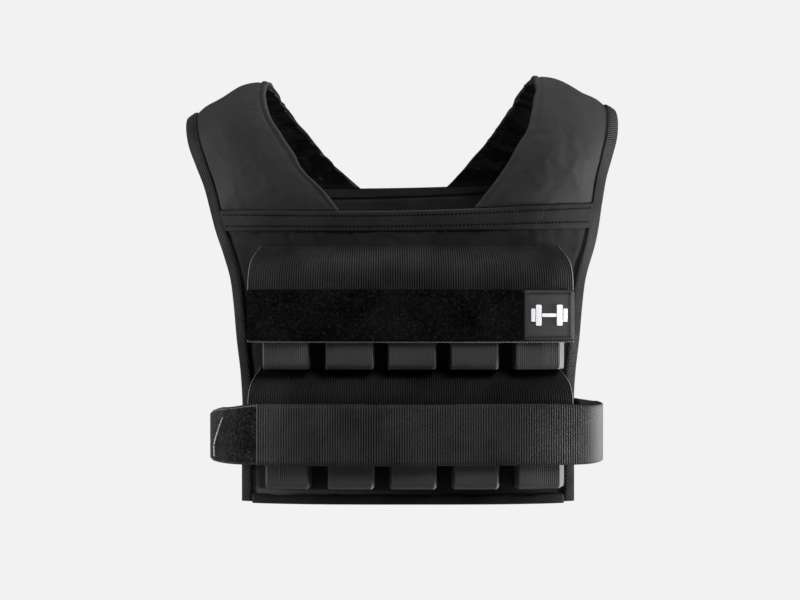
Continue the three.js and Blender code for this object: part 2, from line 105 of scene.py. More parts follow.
# A pocket in side view: share of its height from its mouth, share of its depth and of its width
POCKET_DEPTH_TABLE = ((0, 0.56), (0.08, 0.8), (0.2, 0.96), (0.32, 1), (0.9, 1), (0.97, 0.96), (1, 0.8))
POCKET_WIDTH_TABLE = ((0, 0.95), (0.08, 1), (0.2, 1), (0.32, 1), (0.9, 1), (0.97, 0.995), (1, 0.975))


def from_table(table: Sequence[tuple[float, float]], at: Array) -> Array:
    """Reads a table by a smooth curve through its rows.

    Args:
        table: Rows of key and value, by rising key.
        at: Keys to read.

    Returns:
        The value at each key.
    """
    keys = np.array([row[0] for row in table], float)
    values = np.array([row[1] for row in table], float)
    at = np.asarray(at, float)
    low, high = np.r_[0, np.arange(len(keys) - 1)], np.r_[np.arange(1, len(keys)), len(keys) - 1]
    slopes = (values[high] - values[low]) / (keys[high] - keys[low])
    i = np.clip(np.searchsorted(keys, at, side="right") - 1, 0, len(keys) - 2)
    span = keys[i + 1] - keys[i]
    t = np.clip((at - keys[i]) / span, 0, 1)
    ends = (2 * t**3 - 3 * t**2 + 1) * values[i] + (3 * t**2 - 2 * t**3) * values[i + 1]
    return ends + (t**3 - 2 * t**2 + t) * span * slopes[i] + (t**3 - t**2) * span * slopes[i + 1]


def smooth(at: Array, low: float, high: float) -> Array:
    """A soft step: 0 at or below low, 1 at or above high."""
    t = np.clip((np.asarray(at, float) - low) / (high - low), 0, 1)
    return t * t * (3 - 2 * t)


def hump(at: Array, width: float) -> Array:
    """A soft hump: 1 at 0, fading over a width to both sides."""
    return np.exp(-((at / width) ** 2))


def fading(at: Array, over: float) -> Array:
    """A soft fade: 1 at or below 0, falling off over a distance."""
    return np.exp(-np.maximum(at, 0) / over)


def together(*values: Array) -> Sequence[Array]:
    """Values as arrays of numbers with one common shape."""
    return np.broadcast_arrays(*[np.asarray(value, float) for value in values])


def soft_noise(u: Array, v: Array, cell: float, seed: int) -> Array:
    """Smooth noise from -1 to 1 over two coordinates.

    Args:
        u: First coordinate.
        v: Second coordinate.
        cell: Distance between the noise's values.
        seed: Which noise to read.

    Returns:
        The noise at each point.
    """
    size = 64
    table = np.random.default_rng(seed).uniform(-1, 1, (size, size))
    u, v = [value / cell for value in together(u, v)]
    i, j = np.floor(u).astype(int), np.floor(v).astype(int)
    s, t = smooth(u - i, 0, 1), smooth(v - j, 0, 1)
    near = table[i % size, j % size] * (1 - s) + table[(i + 1) % size, j % size] * s
    far = table[i % size, (j + 1) % size] * (1 - s) + table[(i + 1) % size, (j + 1) % size] * s
    return near * (1 - t) + far * t


@dataclass(frozen=True)
class Slack:
    """Soft rises and hollows of loose cloth: their height, how far apart they lie, their noise."""

    height: float
    cell: float
    seed: int

    def at(self, u: Array, v: Array, other: int = 0) -> Array:
        """How far the cloth lies out at two coordinates. The other number chooses a like noise."""
        return self.height * soft_noise(u, v, self.cell, self.seed + other)


@dataclass(frozen=True)
class Furrow:
    """A furrow that runs along a line: its depth, its width and how far from the line it lies."""

    depth: float
    width: float
    away: float = 0.0

    def at(self, distance: Array) -> Array:
        """How deep the cloth lies at a distance from the line."""
        return self.depth * hump(distance - self.away, self.width)


def ribs(along: Array, pitch: float, height: float) -> Array:
    """The height of woven ribs at a distance along the webbing."""
    return height * np.abs(np.sin(math.pi * np.asarray(along, float) / pitch))


def unit(vectors: Array) -> Array:
    """Vectors brought to length 1."""
    return vectors / np.maximum(np.linalg.norm(vectors, axis=-1, keepdims=True), 1e-9)


@dataclass(frozen=True)
class Cut:
    """The sizes of the pattern that the vest's pieces share, in millimetres."""

    chest_half_width: float = 180.0
    torso_clear: float = 12.0
    torso_half_depth: float = 112.0
    torso_squareness: float = 3.2
    side_margin: float = 4.5
    shoulder_half_width: float = 205.0
    front_neck_drop: float = 129.5
    back_neck_drop: float = 95.5
    crest_drop: float = 35.0
    crest_fall: float = 1.35
    back_widening: float = 4.0
    shoulder_lift: float = 4.0
    shoulder_lean: float = 7.0
    band_curve: float = 8.0
    gap: float = 0.3
    panel_wall: float = 5.0
    lining_wall: float = 1.5
    strap_edge_wall: float = 3.2
    strap_pad_wall: float = 7.2
    strap_end_turn: float = 0.08
    band_wall: float = 2.0
    tape_wall: float = 1.5
    webbing_wall: float = 2.0
    pile_wall: float = 1.5
    band_width: float = 18.0
    binding_width: float = 9.5
    pockets_in_row: int = 5
    pocket_pitch: float = 56.8
    pocket_base: float = 44.0
    pocket_front: float = 42.0
    pocket_depth: float = 28.5
    pocket_bow: float = 1.6
    band_to_flap: float = 15.0
    pocket_drops: tuple[float, float] = (112.0, 108.5)
    flap_drops: tuple[float, float] = (87.0, 84.0)
    flap_side: float = 0.4
    row_shift: float = 1.5
    pocket_top_share: float = 0.17
    pocket_foot: float = 5.0
    belt_width: float = 55.0
    belt_below_flap: float = 2.0
    belt_side_reach: float = 33.7
    belt_tail_length: float = 98.0
    belt_end_inset: float = 8.5
    belt_side_tuck: float = 3.0
    belt_pull: float = 0.9
    belt_round: float = 0.52
    pile_inset: float = 1.5
    pile_past_side: float = 26.0
    patch_size: float = 39.5
    patch_height: float = 46.0
    patch_wall: float = 2.6
    strip_height: float = 46.0
    strip_foot: float = 1.5
    patch_space: float = 0.8
    mark_wall: float = 0.9

    @property
    def front_top(self) -> float:
        """Height of the front neckline."""
        return -self.front_neck_drop

    @property
    def back_top(self) -> float:
        """Height of the back neckline."""
        return -self.back_neck_drop

    def flap_top(self, row: int) -> float:
        """Height of a row's sewn edge, 0 for the upper row and 1 for the lower."""
        upper = self.front_top - self.band_width - self.band_to_flap
        return upper - row * (self.pocket_drops[0] + self.gap)

    @property
    def hem(self) -> float:
        """Height of the hem's lower edge."""
        return self.flap_top(1) - self.pocket_drops[1] - self.pocket_foot - self.binding_width

    @property
    def flap_half(self) -> float:
        """Half of a flap's length on the panel's own measure."""
        return (self.pockets_in_row - 1) / 2 * self.pocket_pitch + self.pocket_base / 2 + self.flap_side

    @property
    def hem_half_width(self) -> float:
        """Half of the hem's length on the panel's own measure."""
        return self.flap_half + self.row_shift + self.side_margin + self.gap + self.binding_width

    @property
    def torso_half_width(self) -> float:
        """Where the plan curve would meet the centre plane between front and back."""
        return max(self.chest_half_width, self.hem_half_width) + self.torso_clear

    @property
    def edge_inset(self) -> float:
        """How far a panel's cloth ends before the outside of its binding."""
        return self.tape_wall + self.gap

    @property
    def pocket_seat(self) -> float:
        """How far out of the wearer's side the pockets and flaps are sewn on."""
        return self.panel_wall + self.gap

    @property
    def flap_stand(self) -> float:
        """How far a flap stands out of the panel."""
        return self.pocket_depth + self.pocket_bow + self.gap

    @property
    def belt_seat(self) -> float:
        """How far out of the wearer's side the belt lies along the front."""
        most = max(out for _, out in FLAP_TABLE)
        return self.pocket_seat + self.flap_stand * most + self.webbing_wall + self.gap

    @property
    def belt_bottom(self) -> float:
        """Height of the belt's lower edge."""
        return self.flap_top(1) - self.flap_drops[1] - self.belt_below_flap

    @property
    def belt_half_width(self) -> float:
        """Centre plane to the belt at the wearer's side."""
        return self.hem_half_width + self.belt_side_reach

    @property
    def belt_stack(self) -> float:
        """How far the belt's free end lies out of its tail."""
        return self.webbing_wall + self.pile_wall + 2 * self.gap


class Garment:
    """The wearer's side of the vest as surfaces, which every layer stands on."""

    def __init__(self, cut: Cut) -> None:
        """Keeps the pattern's sizes."""
        self.cut = cut

    def plan_depth(self, x: Array) -> Array:
        """Half the depth of the wearer's side.

        Args:
            x: Distance from the centre plane.

        Returns:
            The half depth there.
        """
        cut = self.cut
        share = np.minimum(np.abs(x) / cut.torso_half_width, 0.999)
        return cut.torso_half_depth * (1 - share**cut.torso_squareness) ** (1 / cut.torso_squareness)

    def side_edge(self, z: Array) -> Array:
        """The side and armhole edge of a panel.

        Args:
            z: Height.

        Returns:
            The edge's distance from the centre plane.
        """
        cut = self.cut
        z = np.asarray(z, float)
        down = (cut.front_top - z) / (cut.front_top - cut.hem)
        narrowing = from_table(SIDE_TABLE, down)
        below = cut.chest_half_width - (cut.chest_half_width - cut.hem_half_width) * narrowing
        rise = (z - cut.front_top) / (cut.back_top - cut.front_top)
        return np.where(z > cut.front_top, cut.chest_half_width + cut.back_widening * rise, below)

    def draped(self, points: Array) -> Array:
        """Moves points as the vest hangs: leaning shoulders and drawn-up band ends.

        Args:
            points: Points of the vest hung straight.

        Returns:
            The same points as the vest hangs.
        """
        cut = self.cut
        x, y, z = points[..., 0], points[..., 1], points[..., 2]
        foot = cut.flap_top(0)
        above = smooth(z, foot, cut.front_top)
        by_band = above * (1 - smooth(z, cut.front_top, -cut.crest_drop))
        across = x / cut.shoulder_half_width
        leant = x - cut.shoulder_lean * np.maximum(1 - z / foot, 0)
        lifted = z + cut.shoulder_lift * above * across + cut.band_curve * by_band * across**2
        return np.stack([leant, y, lifted], -1)

    def panel(self, facing: Facing, x: Array, z: Array) -> Array:
        """A panel's wearer side, by distance from the centre plane and by height."""
        x, z = together(x, z)
        return self.draped(np.stack([x, facing.value * self.plan_depth(x), z], -1))

    def strap_edges(self, turn: Array) -> tuple[Array, Array]:
        """A strap's edges.

        Args:
            turn: Share of its arch.

        Returns:
            How far the outer and the inner edge lie from the centre plane.
        """
        cut = self.cut
        turn = np.asarray(turn, float)
        foot_edge = self.side_edge(np.where(turn < 0.5, cut.front_top, cut.back_top))
        inner = cut.shoulder_half_width * from_table(STRAP_INNER_TABLE, turn)
        share = from_table(STRAP_OUTER_TABLE, turn)
        return foot_edge + (cut.shoulder_half_width - foot_edge) * share, inner

    def strap(self, side: Side, turn: Array, from_edge: Array) -> Array:
        """A strap's wearer side.

        Args:
            side: Which strap.
            turn: Share of its arch, from the chest band over the crest to the back neckline.
            from_edge: Distance from its outer edge.

        Returns:
            Points on the wearer's side.
        """
        cut = self.cut
        turn, from_edge = together(turn, from_edge)
        foot = np.where(turn < 0.5, cut.front_top, cut.back_top)
        foot_edge = self.side_edge(foot)
        outer, inner = self.strap_edges(turn)
        share = from_edge / (outer - inner)
        ends = [cut.shoulder_half_width * STRAP_INNER_TABLE[end][1] for end in (0, -1)]
        foot_x = foot_edge - (foot_edge - np.where(turn < 0.5, ends[0], ends[1])) * share
        crest = -cut.crest_drop * np.clip(1 - share, 0, 1) ** cut.crest_fall
        angle = math.pi * turn
        return self.draped(
            np.stack(
                [
                    side.value * (outer - from_edge),
                    -self.plan_depth(foot_x) * np.cos(angle),
                    foot + (crest - foot) * np.sin(angle),
                ],
                -1,
            )
        )

    def normals(self, surface: Callable, u: Array, v: Array, steps: tuple[float, float]) -> Array:
        """Unit vectors away from the wearer.

        Args:
            surface: A surface of two coordinates.
            u: First coordinate.
            v: Second coordinate.
            steps: Steps of the two coordinates over which the slope is taken.

        Returns:
            One vector for each point.
        """
        here = surface(u, v)
        along_u = surface(u + steps[0], v) - surface(u - steps[0], v)
        along_v = surface(u, v + steps[1]) - surface(u, v - steps[1])
        normal = unit(np.cross(along_u, along_v))
        up = np.maximum(here[..., 2] - self.cut.front_top, 0)
        facing = (normal * np.stack([np.zeros_like(up), here[..., 1], up], -1)).sum(-1)
        return np.where(facing[..., None] < 0, -normal, normal)

    def off_panel(self, facing: Facing, x: Array, z: Array, out: Array) -> Array:
        """Points off a panel.

        Args:
            facing: Which panel.
            x: Place across it.
            z: Height.
            out: Distance out of its wearer side.

        Returns:
            The points.
        """
        x, z, out = together(x, z, out)
        normal = self.normals(lambda u, v: self.panel(facing, u, v), x, z, (0.5, 0.5))
        return self.panel(facing, x, z) + normal * out[..., None]

    def off_strap(self, side: Side, turn: Array, from_edge: Array, out: Array) -> Array:
        """Points off a strap, level with the panels near its ends.

        Args:
            side: Which strap.
            turn: Share of its arch.
            from_edge: Distance from its outer edge.
            out: Distance out of its wearer side.

        Returns:
            The points.
        """
        turn, from_edge, out = together(turn, from_edge, out)
        normal = self.normals(lambda u, v: self.strap(side, u, v), turn, from_edge, (0.005, 0.5))
        level = smooth(np.minimum(turn, 1 - turn), 0, self.cut.strap_end_turn)
        normal = unit(normal * np.stack([np.ones_like(level), np.ones_like(level), level], -1))
        return self.strap(side, turn, from_edge) + normal * out[..., None]

    def by_edge(self, side: Side, along: Array, from_edge: Array, out: Array) -> Array:
        """Points by the edge that runs over the shoulder from hem to hem.

        Args:
            side: Which edge.
            along: 0 to 1 up the front panel, 1 to 2 over the strap, 2 to 3 down the back panel.
            from_edge: Distance from the edge.
            out: Distance out of the wearer's side.

        Returns:
            The points.
        """
        cut = self.cut
        along, from_edge, out = together(along, from_edge, out)
        heights = {
            Facing.FRONT: cut.hem + (cut.front_top - cut.hem) * np.clip(along, 0, 1),
            Facing.BACK: cut.back_top + (cut.hem - cut.back_top) * np.clip(along - 2, 0, 1),
        }
        on_front, on_back = [
            self.off_panel(facing, side.value * (self.side_edge(z) - from_edge), z, out)
            for facing, z in heights.items()
        ]
        over = self.off_strap(side, np.clip(along - 1, 0.001, 0.999), from_edge, out)
        return np.where((along <= 1)[..., None], on_front, np.where((along >= 2)[..., None], on_back, over))

    def flap_line(self, row: int, down: Array) -> tuple[Array, Array]:
        """A flap's side view.

        Args:
            row: 0 for the upper row, 1 for the lower.
            down: Share of the flap's drop.

        Returns:
            Height, and distance of its inner face out of the wearer's side.
        """
        cut = self.cut
        out = cut.pocket_seat + cut.flap_stand * from_table(FLAP_TABLE, down)
        return cut.flap_top(row) - np.asarray(down, float) * cut.flap_drops[row], out

    def off_flap(self, facing: Facing, row: int, x: Array, down: Array, lift: Array) -> Array:
        """Points on a flap.

        Args:
            facing: Which panel carries the flap.
            row: 0 for the upper row, 1 for the lower.
            x: Place along the flap on the panel's own measure.
            down: Share of the flap's drop.
            lift: Distance out of the flap's inner face, square to it.

        Returns:
            The points.
        """
        step = 0.004
        x, down, lift = together(x, down, lift)
        z, out = self.flap_line(row, down)
        z_low, out_low = self.flap_line(row, np.clip(down + step, 0, 1))
        z_high, out_high = self.flap_line(row, np.clip(down - step, 0, 1))
        run = unit(np.stack([z_low - z_high, out_low - out_high], -1))
        return self.off_panel(facing, x, z + run[..., 1] * lift, out - run[..., 0] * lift)


# Meshes


def new_object(name: str, points: Array, faces: Sequence[Array], uv: Array) -> bpy.types.Object:
    """Makes a smooth closed mesh object with the map "cloth", its faces pointing out.

    Args:
        name: The piece's name.
        points: Corners in millimetres.
        faces: Arrays of faces, one row of corner numbers for each face.
        uv: The map's place of each corner, in millimetres along the cloth.

    Returns:
        The object, at the origin.
    """
    corners = points * MM
    volume = 0.0
    for group in faces:
        fan = [(group[:, 0], group[:, k], group[:, k + 1]) for k in range(1, group.shape[1] - 1)]
        volume += sum((corners[a] * np.cross(corners[b], corners[c])).sum() for a, b, c in fan)
    turned = [group[:, ::-1] if volume < 0 else group for group in faces]
    loops = np.concatenate([group.ravel() for group in turned]).astype(np.int32)
    totals = np.concatenate([np.full(len(group), group.shape[1]) for group in turned]).astype(np.int32)
    mesh = bpy.data.meshes.new(name)
    mesh.vertices.add(len(corners))
    mesh.vertices.foreach_set("co", corners.astype(np.float32).ravel())
    mesh.loops.add(len(loops))
    mesh.loops.foreach_set("vertex_index", loops)
    mesh.polygons.add(len(totals))
    mesh.polygons.foreach_set("loop_start", np.r_[0, np.cumsum(totals)[:-1]].astype(np.int32))
    mesh.polygons.foreach_set("loop_total", totals)
    mesh.update(calc_edges=True)
    mesh.polygons.foreach_set("use_smooth", np.ones(len(totals), bool))
    layer = mesh.uv_layers.new(name="cloth")
    layer.data.foreach_set("uv", uv[loops].astype(np.float32).ravel())
    mesh.validate()
    piece = bpy.data.objects.new(name, mesh)
    bpy.context.scene.collection.objects.link(piece)
    return piece


def corners_of(piece: bpy.types.Object) -> Array:
    """The places of a piece's corners, one row for each."""
    corners = np.zeros(len(piece.data.vertices) * 3, np.float32)
    piece.data.vertices.foreach_get("co", corners)
    return corners.reshape(-1, 3)


def mark_rim(piece: bpy.types.Object, share: Array) -> None:
    """Writes how much each corner shows the rim's shade, 0 to 1, as the attribute "rim": the tone of cut
    edges, and painted highlights where light falls.
    """
    attribute = piece.data.attributes.get("rim") or piece.data.attributes.new("rim", "FLOAT", "POINT")
    attribute.data.foreach_set("value", share.astype(np.float32))


def mark_more(piece: bpy.types.Object, share: Array) -> None:
    """Paints highlight: raises the attribute "rim" of a piece's first corners to a share, where it is lower.

    Args:
        piece: A piece that has the attribute.
        share: The least share of each of its first corners.
    """
    marks = np.zeros(len(piece.data.vertices), np.float32)
    piece.data.attributes["rim"].data.foreach_get("value", marks)
    marks[: share.size] = np.maximum(marks[: share.size], share.ravel())
    mark_rim(piece, marks)


def around(grid: Array) -> Array:
    """The border of a grid, once round."""
    return np.concatenate([grid[0, :-1], grid[:-1, -1], grid[-1, :0:-1], grid[:0:-1, 0]])


def cloth_wall(
    name: str,
    outer: Array,
    inner: Array,
    uv: Array,
    bulge: float = 0.5,
    cut_edges: tuple[float, float, float, float] = (1, 1, 1, 1),
    edge_columns: int = 1,
) -> bpy.types.Object:
    """Makes a cloth wall between two grids of points, with a round rim.

    Args:
        name: The piece's name.
        outer: Rows and columns of points on the side away from the wearer.
        inner: The same rows, with one column for each so many of the outer ones.
        uv: The map's place of each outer point.
        bulge: How far the rim stands out between the two faces.
        cut_edges: How much the first row, last column, last row and first column show the rim's shade, as
            cut edges, some with painted highlight.
        edge_columns: How many columns at each end belong to the cut edge.

    Returns:
        The object. Faces of the wearer's side have material index 1.
    """
    rows, columns = outer.shape[:2]
    few = inner.shape[1]
    every = (columns - 1) // (few - 1)
    out = np.arange(rows * columns).reshape(rows, columns)
    within = np.arange(rows * few).reshape(rows, few) + rows * columns
    ring = around(out)
    back = around(within)
    count = len(ring)
    middle = np.arange(count) + rows * (columns + few)
    spans = np.array([every] * (few - 1) + [1] * (rows - 1) + [every] * (few - 1) + [1] * (rows - 1))
    starts = np.r_[0, np.cumsum(spans)]
    part = np.searchsorted(starts, np.arange(count), side="right") - 1
    share = ((np.arange(count) - starts[part]) / spans[part])[:, None]
    inner_points = inner.reshape(-1, 3)
    back_points = inner_points[back - rows * columns]
    beside = back_points[part] * (1 - share) + np.roll(back_points, -1, 0)[part] * share
    row_of, column_of = around(np.indices((rows, columns))[0]), around(np.indices((rows, columns))[1])
    reach = min(4 * every, columns // 4)
    inward = outer[np.clip(row_of, 1, rows - 2), np.clip(column_of, reach, columns - 1 - reach)]
    edge = outer.reshape(-1, 3)[ring]
    rim = (edge + beside) / 2 + unit(edge - inward) * bulge
    points = np.concatenate([outer.reshape(-1, 3), inner_points, rim])
    following = np.roll(np.arange(count), -1)
    faces = [
        np.stack([out[:-1, :-1], out[:-1, 1:], out[1:, 1:], out[1:, :-1]], -1).reshape(-1, 4),
        np.stack([ring, middle, middle[following], ring[following]], -1),
    ]
    for width in sorted(set(spans)):
        which = np.nonzero(spans == width)[0]
        along = [middle[(starts[which] + k) % count] for k in range(width + 1)]
        faces.append(np.stack([*along, np.roll(back, -1)[which], back[which]], -1)[:, ::-1])
    inner_faces = np.stack([within[:-1, :-1], within[1:, :-1], within[1:, 1:], within[:-1, 1:]], -1)
    faces.append(inner_faces.reshape(-1, 4))
    flat_uv = np.concatenate([uv.reshape(-1, 2), uv[:, ::every].reshape(-1, 2), uv.reshape(-1, 2)[ring]])
    piece = new_object(name, points, faces, flat_uv)
    near = np.zeros(len(points))
    which_edge = [row_of == 0, column_of == columns - 1, row_of == rows - 1, column_of == 0]
    shows = np.max([weight * on for weight, on in zip(cut_edges, which_edge)], axis=0)
    near[ring], near[middle] = shows, shows
    near[out[:, :edge_columns]], near[out[:, -edge_columns:]] = cut_edges[3], cut_edges[1]
    mark_rim(piece, near)
    inside = np.zeros(sum(len(group) for group in faces), np.int32)
    inside[-len(faces[-1]):] = 1
    piece.data.polygons.foreach_set("material_index", inside)
    return piece


def wrapped(name: str, rings: Array, uv: Array) -> bpy.types.Object:
    """Makes a closed solid from rings of points, each once round the section.

    Args:
        name: The piece's name.
        rings: Stations along the piece, each a ring of points.
        uv: The map's place of each point.

    Returns:
        The object.
    """
    stations, size = rings.shape[:2]
    index = np.arange(stations * size).reshape(stations, size)
    beside = np.roll(index, -1, 1)
    sides = np.stack([index[:-1], beside[:-1], beside[1:], index[1:]], -1).reshape(-1, 4)
    centres = np.stack([rings[0].mean(0), rings[-1].mean(0)])
    inset = [rings[end] * 0.7 + centres[end] * 0.3 for end in (0, -1)]
    points = np.concatenate([rings.reshape(-1, 3), *inset])
    first = np.arange(size) + stations * size
    last = first + size
    start = np.stack([index[0], first, np.roll(first, -1), beside[0]], -1)
    end = np.stack([index[-1], beside[-1], np.roll(last, -1), last], -1)
    flat = uv.reshape(-1, 2)
    flat_uv = np.concatenate([flat, flat[:size], flat[-size:]])
    piece = new_object(name, points, [sides, start, end, first[None, ::-1], last[None]], flat_uv)
    mark_rim(piece, np.zeros(len(points)))
    return piece


def lengths(points: Array, axis: int) -> Array:
    """Distances travelled over a grid of points, from its first row or column.

    Args:
        points: The grid.
        axis: 0 to travel along its columns, 1 along its rows.

    Returns:
        The distance travelled at each point.
    """
    steps = np.linalg.norm(np.diff(points, axis=axis), axis=-1)
    pad = [(0, 0)] * steps.ndim
    pad[axis] = (1, 0)
    return np.pad(np.cumsum(steps, axis), pad)


def cloth_map(points: Array) -> Array:
    """The map of a grid of points: millimetres along its rows and along its columns."""
    return np.stack([lengths(points, 1), lengths(points, 0)], -1)


def evenly(at: Array, travelled: Array, step: float, multiple: int = 1) -> Array:
    """Places that lie evenly along a line.

    Args:
        at: Coordinates along the line.
        travelled: Distance travelled at each coordinate.
        step: About how far apart the places lie.
        multiple: The number of steps is a multiple of this.

    Returns:
        The coordinates of the places.
    """
    count = max(round(travelled[-1] / step / multiple), 1) * multiple
    return np.interp(np.linspace(0, travelled[-1], count + 1), travelled, at)


def read_line(at: Array, travelled: Array, values: Array) -> Array:
    """Reads rows of values at distances along a line.

    Args:
        at: Distances to read.
        travelled: Distance travelled at each row.
        values: The rows.

    Returns:
        One row for each distance.
    """
    return np.stack([np.interp(at, travelled, column) for column in values.T], -1)


@dataclass(frozen=True)
class Thread:
    """Sewing thread as it shows in a row of stitches."""

    pitch: float = 2.8
    length: float = 2.0
    radius: float = 0.26
    sink: float = 0.3
    sides: int = 5

    def sew(self, name: str, rows: Sequence[tuple[Array, Array]]) -> bpy.types.Object:
        """Sews rows of stitches as one object.

        Args:
            name: The piece's name.
            rows: For each row, points along it and the direction out of the cloth at each point.

        Returns:
            The object.
        """
        profile = np.array([(-0.5, 0.3), (-0.42, 0.85), (0, 1), (0.42, 0.85), (0.5, 0.3)])
        turns = np.arange(self.sides) * 2 * math.pi / self.sides
        all_points, all_uv = [], []
        for points, outs in rows:
            travelled = lengths(points, 0)
            middle = np.arange(self.pitch / 2, travelled[-1], self.pitch)
            centre = read_line(middle, travelled, points)
            ahead, behind = [read_line(middle + step, travelled, points) for step in (0.5, -0.5)]
            run = unit(ahead - behind)
            out = unit(read_line(middle, travelled, outs))
            across = unit(np.cross(run, out))
            along = profile[:, 0][None, :, None, None] * self.length
            lift = -self.sink * (np.abs(profile[:, 0]) * 2)[None, :, None, None] ** 2
            width = profile[:, 1][None, :, None, None] * self.radius
            cos, sin = np.cos(turns)[None, None, :, None], np.sin(turns)[None, None, :, None]
            stitch = centre[:, None, None] + run[:, None, None] * along
            stitch = stitch + out[:, None, None] * (lift + width * sin) + across[:, None, None] * width * cos
            all_points.append(stitch)
            uv = np.zeros(stitch.shape[:-1] + (2,))
            uv[..., 0] = profile[:, 0][None, :, None] * self.length
            uv[..., 1] = turns[None, None, :]
            all_uv.append(uv)
        points, uv = np.concatenate(all_points), np.concatenate(all_uv)
        count, stations, size = points.shape[:3]
        index = np.arange(count * stations * size).reshape(count, stations, size)
        beside = np.roll(index, -1, 2)
        sides = np.stack([index[:, :-1], beside[:, :-1], beside[:, 1:], index[:, 1:]], -1).reshape(-1, 4)
        faces = [sides, index[:, 0, ::-1], index[:, -1]]
        piece = new_object(name, points.reshape(-1, 3), faces, uv.reshape(-1, 2))
        mark_rim(piece, np.zeros(index.size))
        return piece


def settled(points: Array, growth: float, cap: float, loose: Array, frames: int = 18) -> Array:
    """Lets a sheet that is a little too large for its seams buckle into folds, by cloth simulation.

    Args:
        points: A grid of points, in millimetres.
        growth: How much larger the cloth is than the grid.
        cap: The most that a point may move.
        loose: How free each point is, 0 on a seam and 1 in the open.
        frames: Steps of the simulation.

    Returns:
        The points after the cloth has settled.
    """
    rows, columns = points.shape[:2]
    index = np.arange(rows * columns).reshape(rows, columns)
    quads = np.stack([index[:-1, :-1], index[:-1, 1:], index[1:, 1:], index[1:, :-1]], -1).reshape(-1, 4)
    mesh = bpy.data.meshes.new("settling_cloth")
    mesh.from_pydata((points.reshape(-1, 3) * MM).tolist(), [], quads.tolist())
    piece = bpy.data.objects.new("settling_cloth", mesh)
    scene = bpy.context.scene
    scene.collection.objects.link(piece)
    pins = piece.vertex_groups.new(name="seams")
    for corner, free in enumerate(loose.ravel()):
        if free < 1:
            pins.add([corner], float(1 - free), "REPLACE")
    cloth = piece.modifiers.new("cloth", "CLOTH")
    cloth.settings.quality = 5
    cloth.settings.mass = 0.1
    cloth.settings.tension_stiffness = 20
    cloth.settings.compression_stiffness = 20
    cloth.settings.shear_stiffness = 8
    cloth.settings.bending_stiffness = 0.02
    cloth.settings.vertex_group_mass = "seams"
    cloth.settings.shrink_min = -growth
    cloth.settings.shrink_max = -growth
    cloth.settings.effector_weights.gravity = 0
    cloth.collision_settings.use_collision = False
    cloth.point_cache.frame_start = 1
    cloth.point_cache.frame_end = frames
    for step in range(1, frames + 1):
        scene.frame_set(step)
    moved = corners_of(piece.evaluated_get(bpy.context.evaluated_depsgraph_get()))
    bpy.data.objects.remove(piece)
    scene.frame_set(1)
    shift = moved.reshape(rows, columns, 3) / MM - points
    length = np.linalg.norm(shift, axis=-1, keepdims=True)
    return points + shift * np.minimum(1, cap / np.maximum(length, 1e-6))


# Finishes


class Nodes:
    """Adds nodes to a node tree and wires them."""

    def __init__(self, tree: bpy.types.NodeTree) -> None:
        """Keeps the tree that the nodes go into."""
        self.tree = tree

    def add(self, kind: str, inputs: Optional[dict] = None, **settings: object) -> bpy.types.Node:
        """Adds a node.

        Args:
            kind: The node's type.
            inputs: Values or sockets for its inputs, by name or number.
            settings: The node's own settings.

        Returns:
            The node.
        """
        node = self.tree.nodes.new(kind)
        for name, value in settings.items():
            setattr(node, name, value)
        for key, value in (inputs or {}).items():
            if isinstance(value, bpy.types.NodeSocket):
                self.tree.links.new(value, node.inputs[key])
            else:
                node.inputs[key].default_value = value
        return node

    def math(self, operation: str, *values: object) -> bpy.types.NodeSocket:
        """Adds a Math node and returns its result."""
        return self.add("ShaderNodeMath", dict(enumerate(values)), operation=operation).outputs[0]

    def blend(self, low: object, high: object, share: object) -> bpy.types.NodeSocket:
        """Adds a Mix node for colours and returns its result."""
        return self.add("ShaderNodeMix", {0: share, 6: low, 7: high}, data_type="RGBA").outputs[2]

    def ramp(self, value: object, low: float, high: float) -> bpy.types.NodeSocket:
        """Adds a smooth step from 0 at low to 1 at high and returns its result."""
        inputs = {"Value": value, "From Min": low, "From Max": high}
        return self.add("ShaderNodeMapRange", inputs, interpolation_type="SMOOTHSTEP").outputs[0]


class ShaderGroup:
    """An effect that several finishes share, as a node group with named sockets."""

    def __init__(self, name: str, inputs: dict[str, object], outputs: Sequence[str]) -> None:
        """Makes the group's sockets.

        Args:
            name: The group's name.
            inputs: Default values by socket name, None for a vector.
            outputs: Names of the values that it puts out.
        """
        self.tree = bpy.data.node_groups.new(name, "ShaderNodeTree")
        for socket, value in inputs.items():
            kind = "NodeSocketVector" if value is None else "NodeSocketFloat"
            made = self.tree.interface.new_socket(name=socket, in_out="INPUT", socket_type=kind)
            if value is not None:
                made.default_value = value
        for socket in outputs:
            self.tree.interface.new_socket(name=socket, in_out="OUTPUT", socket_type="NodeSocketFloat")
        self.nodes = Nodes(self.tree)
        self.input = self.nodes.add("NodeGroupInput").outputs
        self.output = self.nodes.add("NodeGroupOutput").inputs

    def put(self, socket: str, value: bpy.types.NodeSocket) -> None:
        """Wires a value to an output."""
        self.tree.links.new(value, self.output[socket])


